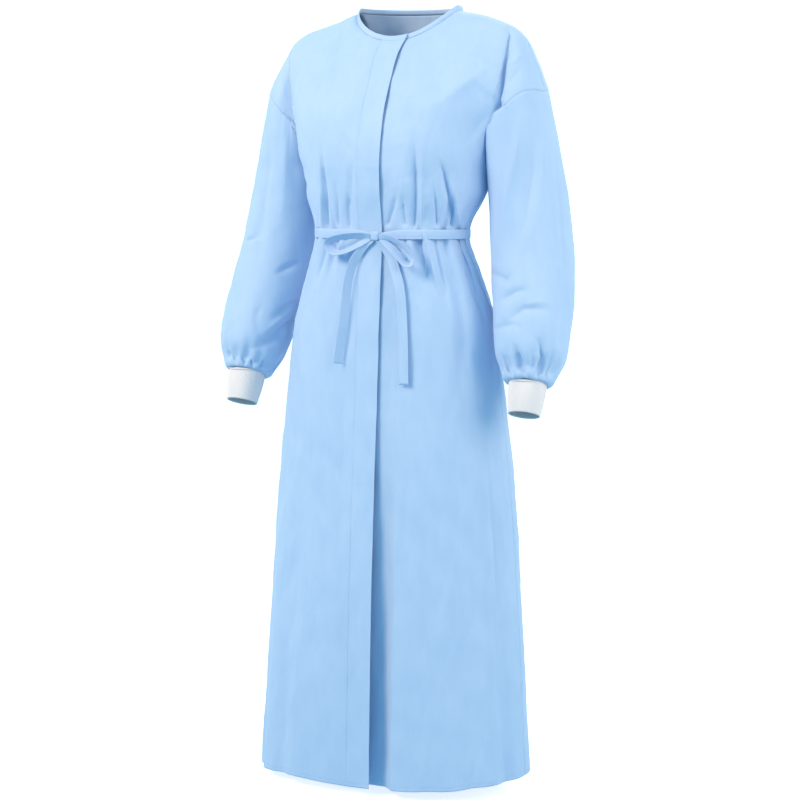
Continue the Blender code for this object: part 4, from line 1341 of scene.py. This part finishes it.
def noise_field(tree, coords, stretch, scale, detail):
    """Noise over an object, stretched by a scale to each axis."""
    mapping = tree.nodes.new("ShaderNodeMapping")
    mapping.inputs["Scale"].default_value = stretch
    tree.links.new(coords, mapping.inputs["Vector"])
    noise = tree.nodes.new("ShaderNodeTexNoise")
    noise.inputs["Scale"].default_value = scale
    noise.inputs["Detail"].default_value = detail
    noise.inputs["Roughness"].default_value = NOISE_ROUGHNESS
    tree.links.new(mapping.outputs["Vector"], noise.inputs["Vector"])
    return noise.outputs["Fac"]


def thread_field(tree, coords, direction, scale):
    """Fine parallel threads over an object."""
    wave = tree.nodes.new("ShaderNodeTexWave")
    wave.wave_type = "BANDS"
    wave.bands_direction = direction
    wave.inputs["Scale"].default_value = scale
    wave.inputs["Distortion"].default_value = WEAVE_WANDER
    wave.inputs["Detail"].default_value = WEAVE_DETAIL
    tree.links.new(coords, wave.inputs["Vector"])
    return wave.outputs["Fac"]


def combine(tree, kind, first, second):
    """Join two fields, or a field and a number, by a kind of calculation."""
    node = tree.nodes.new("ShaderNodeMath")
    node.operation = kind
    for socket, value in zip(node.inputs, (first, second)):
        if isinstance(value, float):
            socket.default_value = value
        else:
            tree.links.new(value, socket)
    return node.outputs[0]


def bump_field(tree, height, distance, strength, before=None):
    """Bump of a height field, after another bump where there is one."""
    bump = tree.nodes.new("ShaderNodeBump")
    bump.inputs["Distance"].default_value = distance
    bump.inputs["Strength"].default_value = strength
    tree.links.new(height, bump.inputs["Height"])
    if before is not None:
        tree.links.new(before, bump.inputs["Normal"])
    return bump.outputs["Normal"]


def fabric(name):
    """Woven or knitted cloth: weave, fine crumple and soft colour changes."""
    light, deep, weave, crumple, roughness, sheen = FABRICS[name]
    material = bpy.data.materials.new(name)
    material.use_nodes = True
    tree = material.node_tree
    shader = tree.nodes["Principled BSDF"]
    shader.inputs["Roughness"].default_value = roughness
    shader.inputs["Specular IOR Level"].default_value = CLOTH_SPECULAR
    shader.inputs["Sheen Weight"].default_value = sheen
    shader.inputs["Sheen Roughness"].default_value = SHEEN_ROUGHNESS
    coords = tree.nodes.new("ShaderNodeTexCoord").outputs["Object"]
    parts = []
    for stretch, scale, detail, share in COLOUR_NOISES:
        noise = noise_field(tree, coords, stretch, scale, detail)
        parts.append(combine(tree, "MULTIPLY", noise, share))
    shade = parts[0]
    for part in parts[1:]:
        shade = combine(tree, "ADD", shade, part)
    ramp = tree.nodes.new("ShaderNodeValToRGB")
    for element, place, colour in zip(ramp.color_ramp.elements, RAMP_ENDS, (deep, light)):
        element.position = place
        element.color = colour
    tree.links.new(shade, ramp.inputs["Fac"])
    tree.links.new(ramp.outputs["Color"], shader.inputs["Base Color"])
    upright = thread_field(tree, coords, "X", weave)
    level = thread_field(tree, coords, "Z", weave)
    threads = combine(tree, "ADD", upright, level)
    fine = noise_field(tree, coords, *FINE_CRUMPLE)
    normal = bump_field(tree, fine, FINE_CRUMPLE_HEIGHT, crumple)
    normal = bump_field(tree, threads, WEAVE_HEIGHT, WEAVE_STRENGTH, normal)
    tree.links.new(normal, shader.inputs["Normal"])
    return material


def floor_material():
    """Plain pale material of the floor and the wall."""
    material = bpy.data.materials.new("studio_floor")
    material.use_nodes = True
    tree = material.node_tree
    shader = tree.nodes["Principled BSDF"]
    shader.inputs["Base Color"].default_value = FLOOR_PALE
    shader.inputs["Roughness"].default_value = FLOOR_ROUGHNESS
    shader.inputs["Specular IOR Level"].default_value = FLOOR_SPECULAR
    shader.inputs["Emission Color"].default_value = (1.0, 1.0, 1.0, 1.0)
    shader.inputs["Emission Strength"].default_value = FLOOR_GLOW
    return material


def finish_piece(item, node):
    """Let a piece ride on the body and stand for its node."""
    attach(item, "root")
    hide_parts(node)
    return item


def add_room():
    """Floor that bends up into a closed round wall."""
    straight = ROOM_REACH - ROOM_BEND
    bend = np.linspace(0.0, math.pi / 2.0, BEND_RINGS)[1:]
    reach = np.concatenate((
        np.linspace(0.0, straight, FLOOR_RINGS),
        straight + ROOM_BEND * np.sin(bend),
        straight + ROOM_BEND * np.cos(bend),
        (0.0,),
    ))
    height = np.concatenate((
        np.zeros(FLOOR_RINGS),
        ROOM_BEND - ROOM_BEND * np.cos(bend),
        ROOM_HEIGHT - ROOM_BEND + ROOM_BEND * np.sin(bend),
        (ROOM_HEIGHT,),
    ))
    turns = 2.0 * math.pi * np.arange(ROOM_TURNS) / ROOM_TURNS
    grid = np.zeros((len(reach), len(turns), 3))
    grid[..., 0] = reach[:, None] * np.cos(turns)[None, :]
    grid[..., 1] = reach[:, None] * np.sin(turns)[None, :]
    grid[..., 2] = height[:, None] - FLOOR_DROP
    floor = build_mesh("studio_floor", grid, floor_material(), wrap=True, thickness=0.0)
    floor.visible_shadow = False
    floor.visible_diffuse = False


def add_lights():
    """Even sky and the soft lamps."""
    world = bpy.data.worlds.new("studio")
    world.use_nodes = True
    sky = world.node_tree.nodes["Background"]
    sky.inputs["Color"].default_value = SKY_COLOUR
    sky.inputs["Strength"].default_value = SKY_STRENGTH
    bpy.context.scene.world = world
    for name, place, size, power in LAMPS:
        data = bpy.data.lights.new(name, "AREA")
        data.shape = "DISK"
        data.size = size
        data.energy = power
        data.color = LAMP_COLOUR
        lamp = bpy.data.objects.new(name, data)
        lamp.location = place
        way = Vector(LAMP_TARGET) - Vector(place)
        lamp.rotation_mode = "QUATERNION"
        lamp.rotation_quaternion = way.to_track_quat("-Z", "Y")
        bpy.context.scene.collection.objects.link(lamp)


def add_camera():
    """Camera at the photograph's place and angle."""
    data = bpy.data.cameras.new("camera")
    data.lens = FOCAL_POINTS * SENSOR / FRAME_POINTS
    data.sensor_width = SENSOR
    data.clip_end = CAMERA_REACH
    camera = bpy.data.objects.new("camera", data)
    place, _, _, _ = camera_axes()
    camera.location = place.tolist()
    camera.rotation_euler = (math.radians(90.0 - CAMERA_TILT), 0.0, math.radians(CAMERA_AZIMUTH))
    bpy.context.scene.collection.objects.link(camera)
    bpy.context.scene.camera = camera
    bpy.context.scene.view_settings.view_transform = "Standard"
    bpy.context.scene.view_settings.look = "None"


def add_side(name, side, front, back, cloth, knit, thread):
    """One side's front, back, sleeve and cuff, with the stitches."""
    left = side > 0
    front = sew_edge(front, grid_normals(front, False, -side))
    back = sew_edge(back, grid_normals(back, False, side))
    meet = (front[UPPER_ROWS:, -1] + back[UPPER_ROWS:, -1]) / 2.0
    front[UPPER_ROWS:, -1] = meet
    back[UPPER_ROWS:, -1] = meet
    loop = np.concatenate((front[:UPPER_ROWS + 1, -1], back[1:UPPER_ROWS, -1][::-1]))
    loop = loop * np.array((side, 1.0, 1.0))
    sleeve = sleeve_grid(side, name, loop)
    cuff = cuff_grid(side)
    front_item = build_mesh(f"front_panel_{name}", front, cloth, flip=left)
    back_item = build_mesh(f"back_panel_{name}", back, cloth, flip=not left)
    sleeve_item = build_mesh(f"sleeve_cloth_{name}", sleeve, cloth, wrap=True, flip=not left)
    cuff_item = build_mesh(
        f"knit_cuff_{name}", cuff, knit, wrap=True, flip=not left, thickness=CUFF_THICKNESS
    )
    front_runs, back_runs = panel_stitches(front, back, side)
    front_thread = thread_mesh(f"front_stitches_{name}", front_runs, thread)
    back_thread = thread_mesh(f"back_stitches_{name}", back_runs, thread)
    finish_piece(front_thread, f"front_{name}")
    finish_piece(back_thread, f"back_{name}")
    finish_piece(front_item, f"front_{name}")
    finish_piece(back_item, f"back_{name}")
    finish_piece(sleeve_item, f"sleeve_{name}")
    finish_piece(cuff_item, f"cuff_{name}")


def add_trim(trim):
    """Neck binding, belt, and the bow's knot, loops and free ends."""
    binding = build_mesh("neck_binding_cloth", binding_grid(), trim, thickness=BINDING_THICKNESS)
    finish_piece(binding, "neck_binding")
    belt = build_mesh("belt_cloth", belt_grid(), trim, wrap=True, flip=True, thickness=BELT_THICKNESS)
    finish_piece(belt, "belt_band")
    knot = build_mesh("bow_knot", knot_grid(), trim, wrap=True, thickness=0.0)
    finish_piece(knot, "belt_knot")
    for name, route, stations in RIBBONS:
        grid = ribbon_grid(route, stations)
        ribbon = build_mesh(f"{name}_cloth", grid, trim, thickness=RIBBON_THICKNESS, offset=0.0)
        finish_piece(ribbon, name)


def add_gown():
    """All the gown's pieces, each in place of its node."""
    cloth = fabric("gown_cloth")
    trim = fabric("trim_cloth")
    knit = fabric("cuff_knit")
    thread = fabric("sewing_thread")
    grids = panels()
    for name, side in SIDES:
        add_side(name, side, grids[f"front_{name}"], grids[f"back_{name}"], cloth, knit, thread)
    add_trim(trim)


add_room()
add_lights()
add_camera()
add_gown()
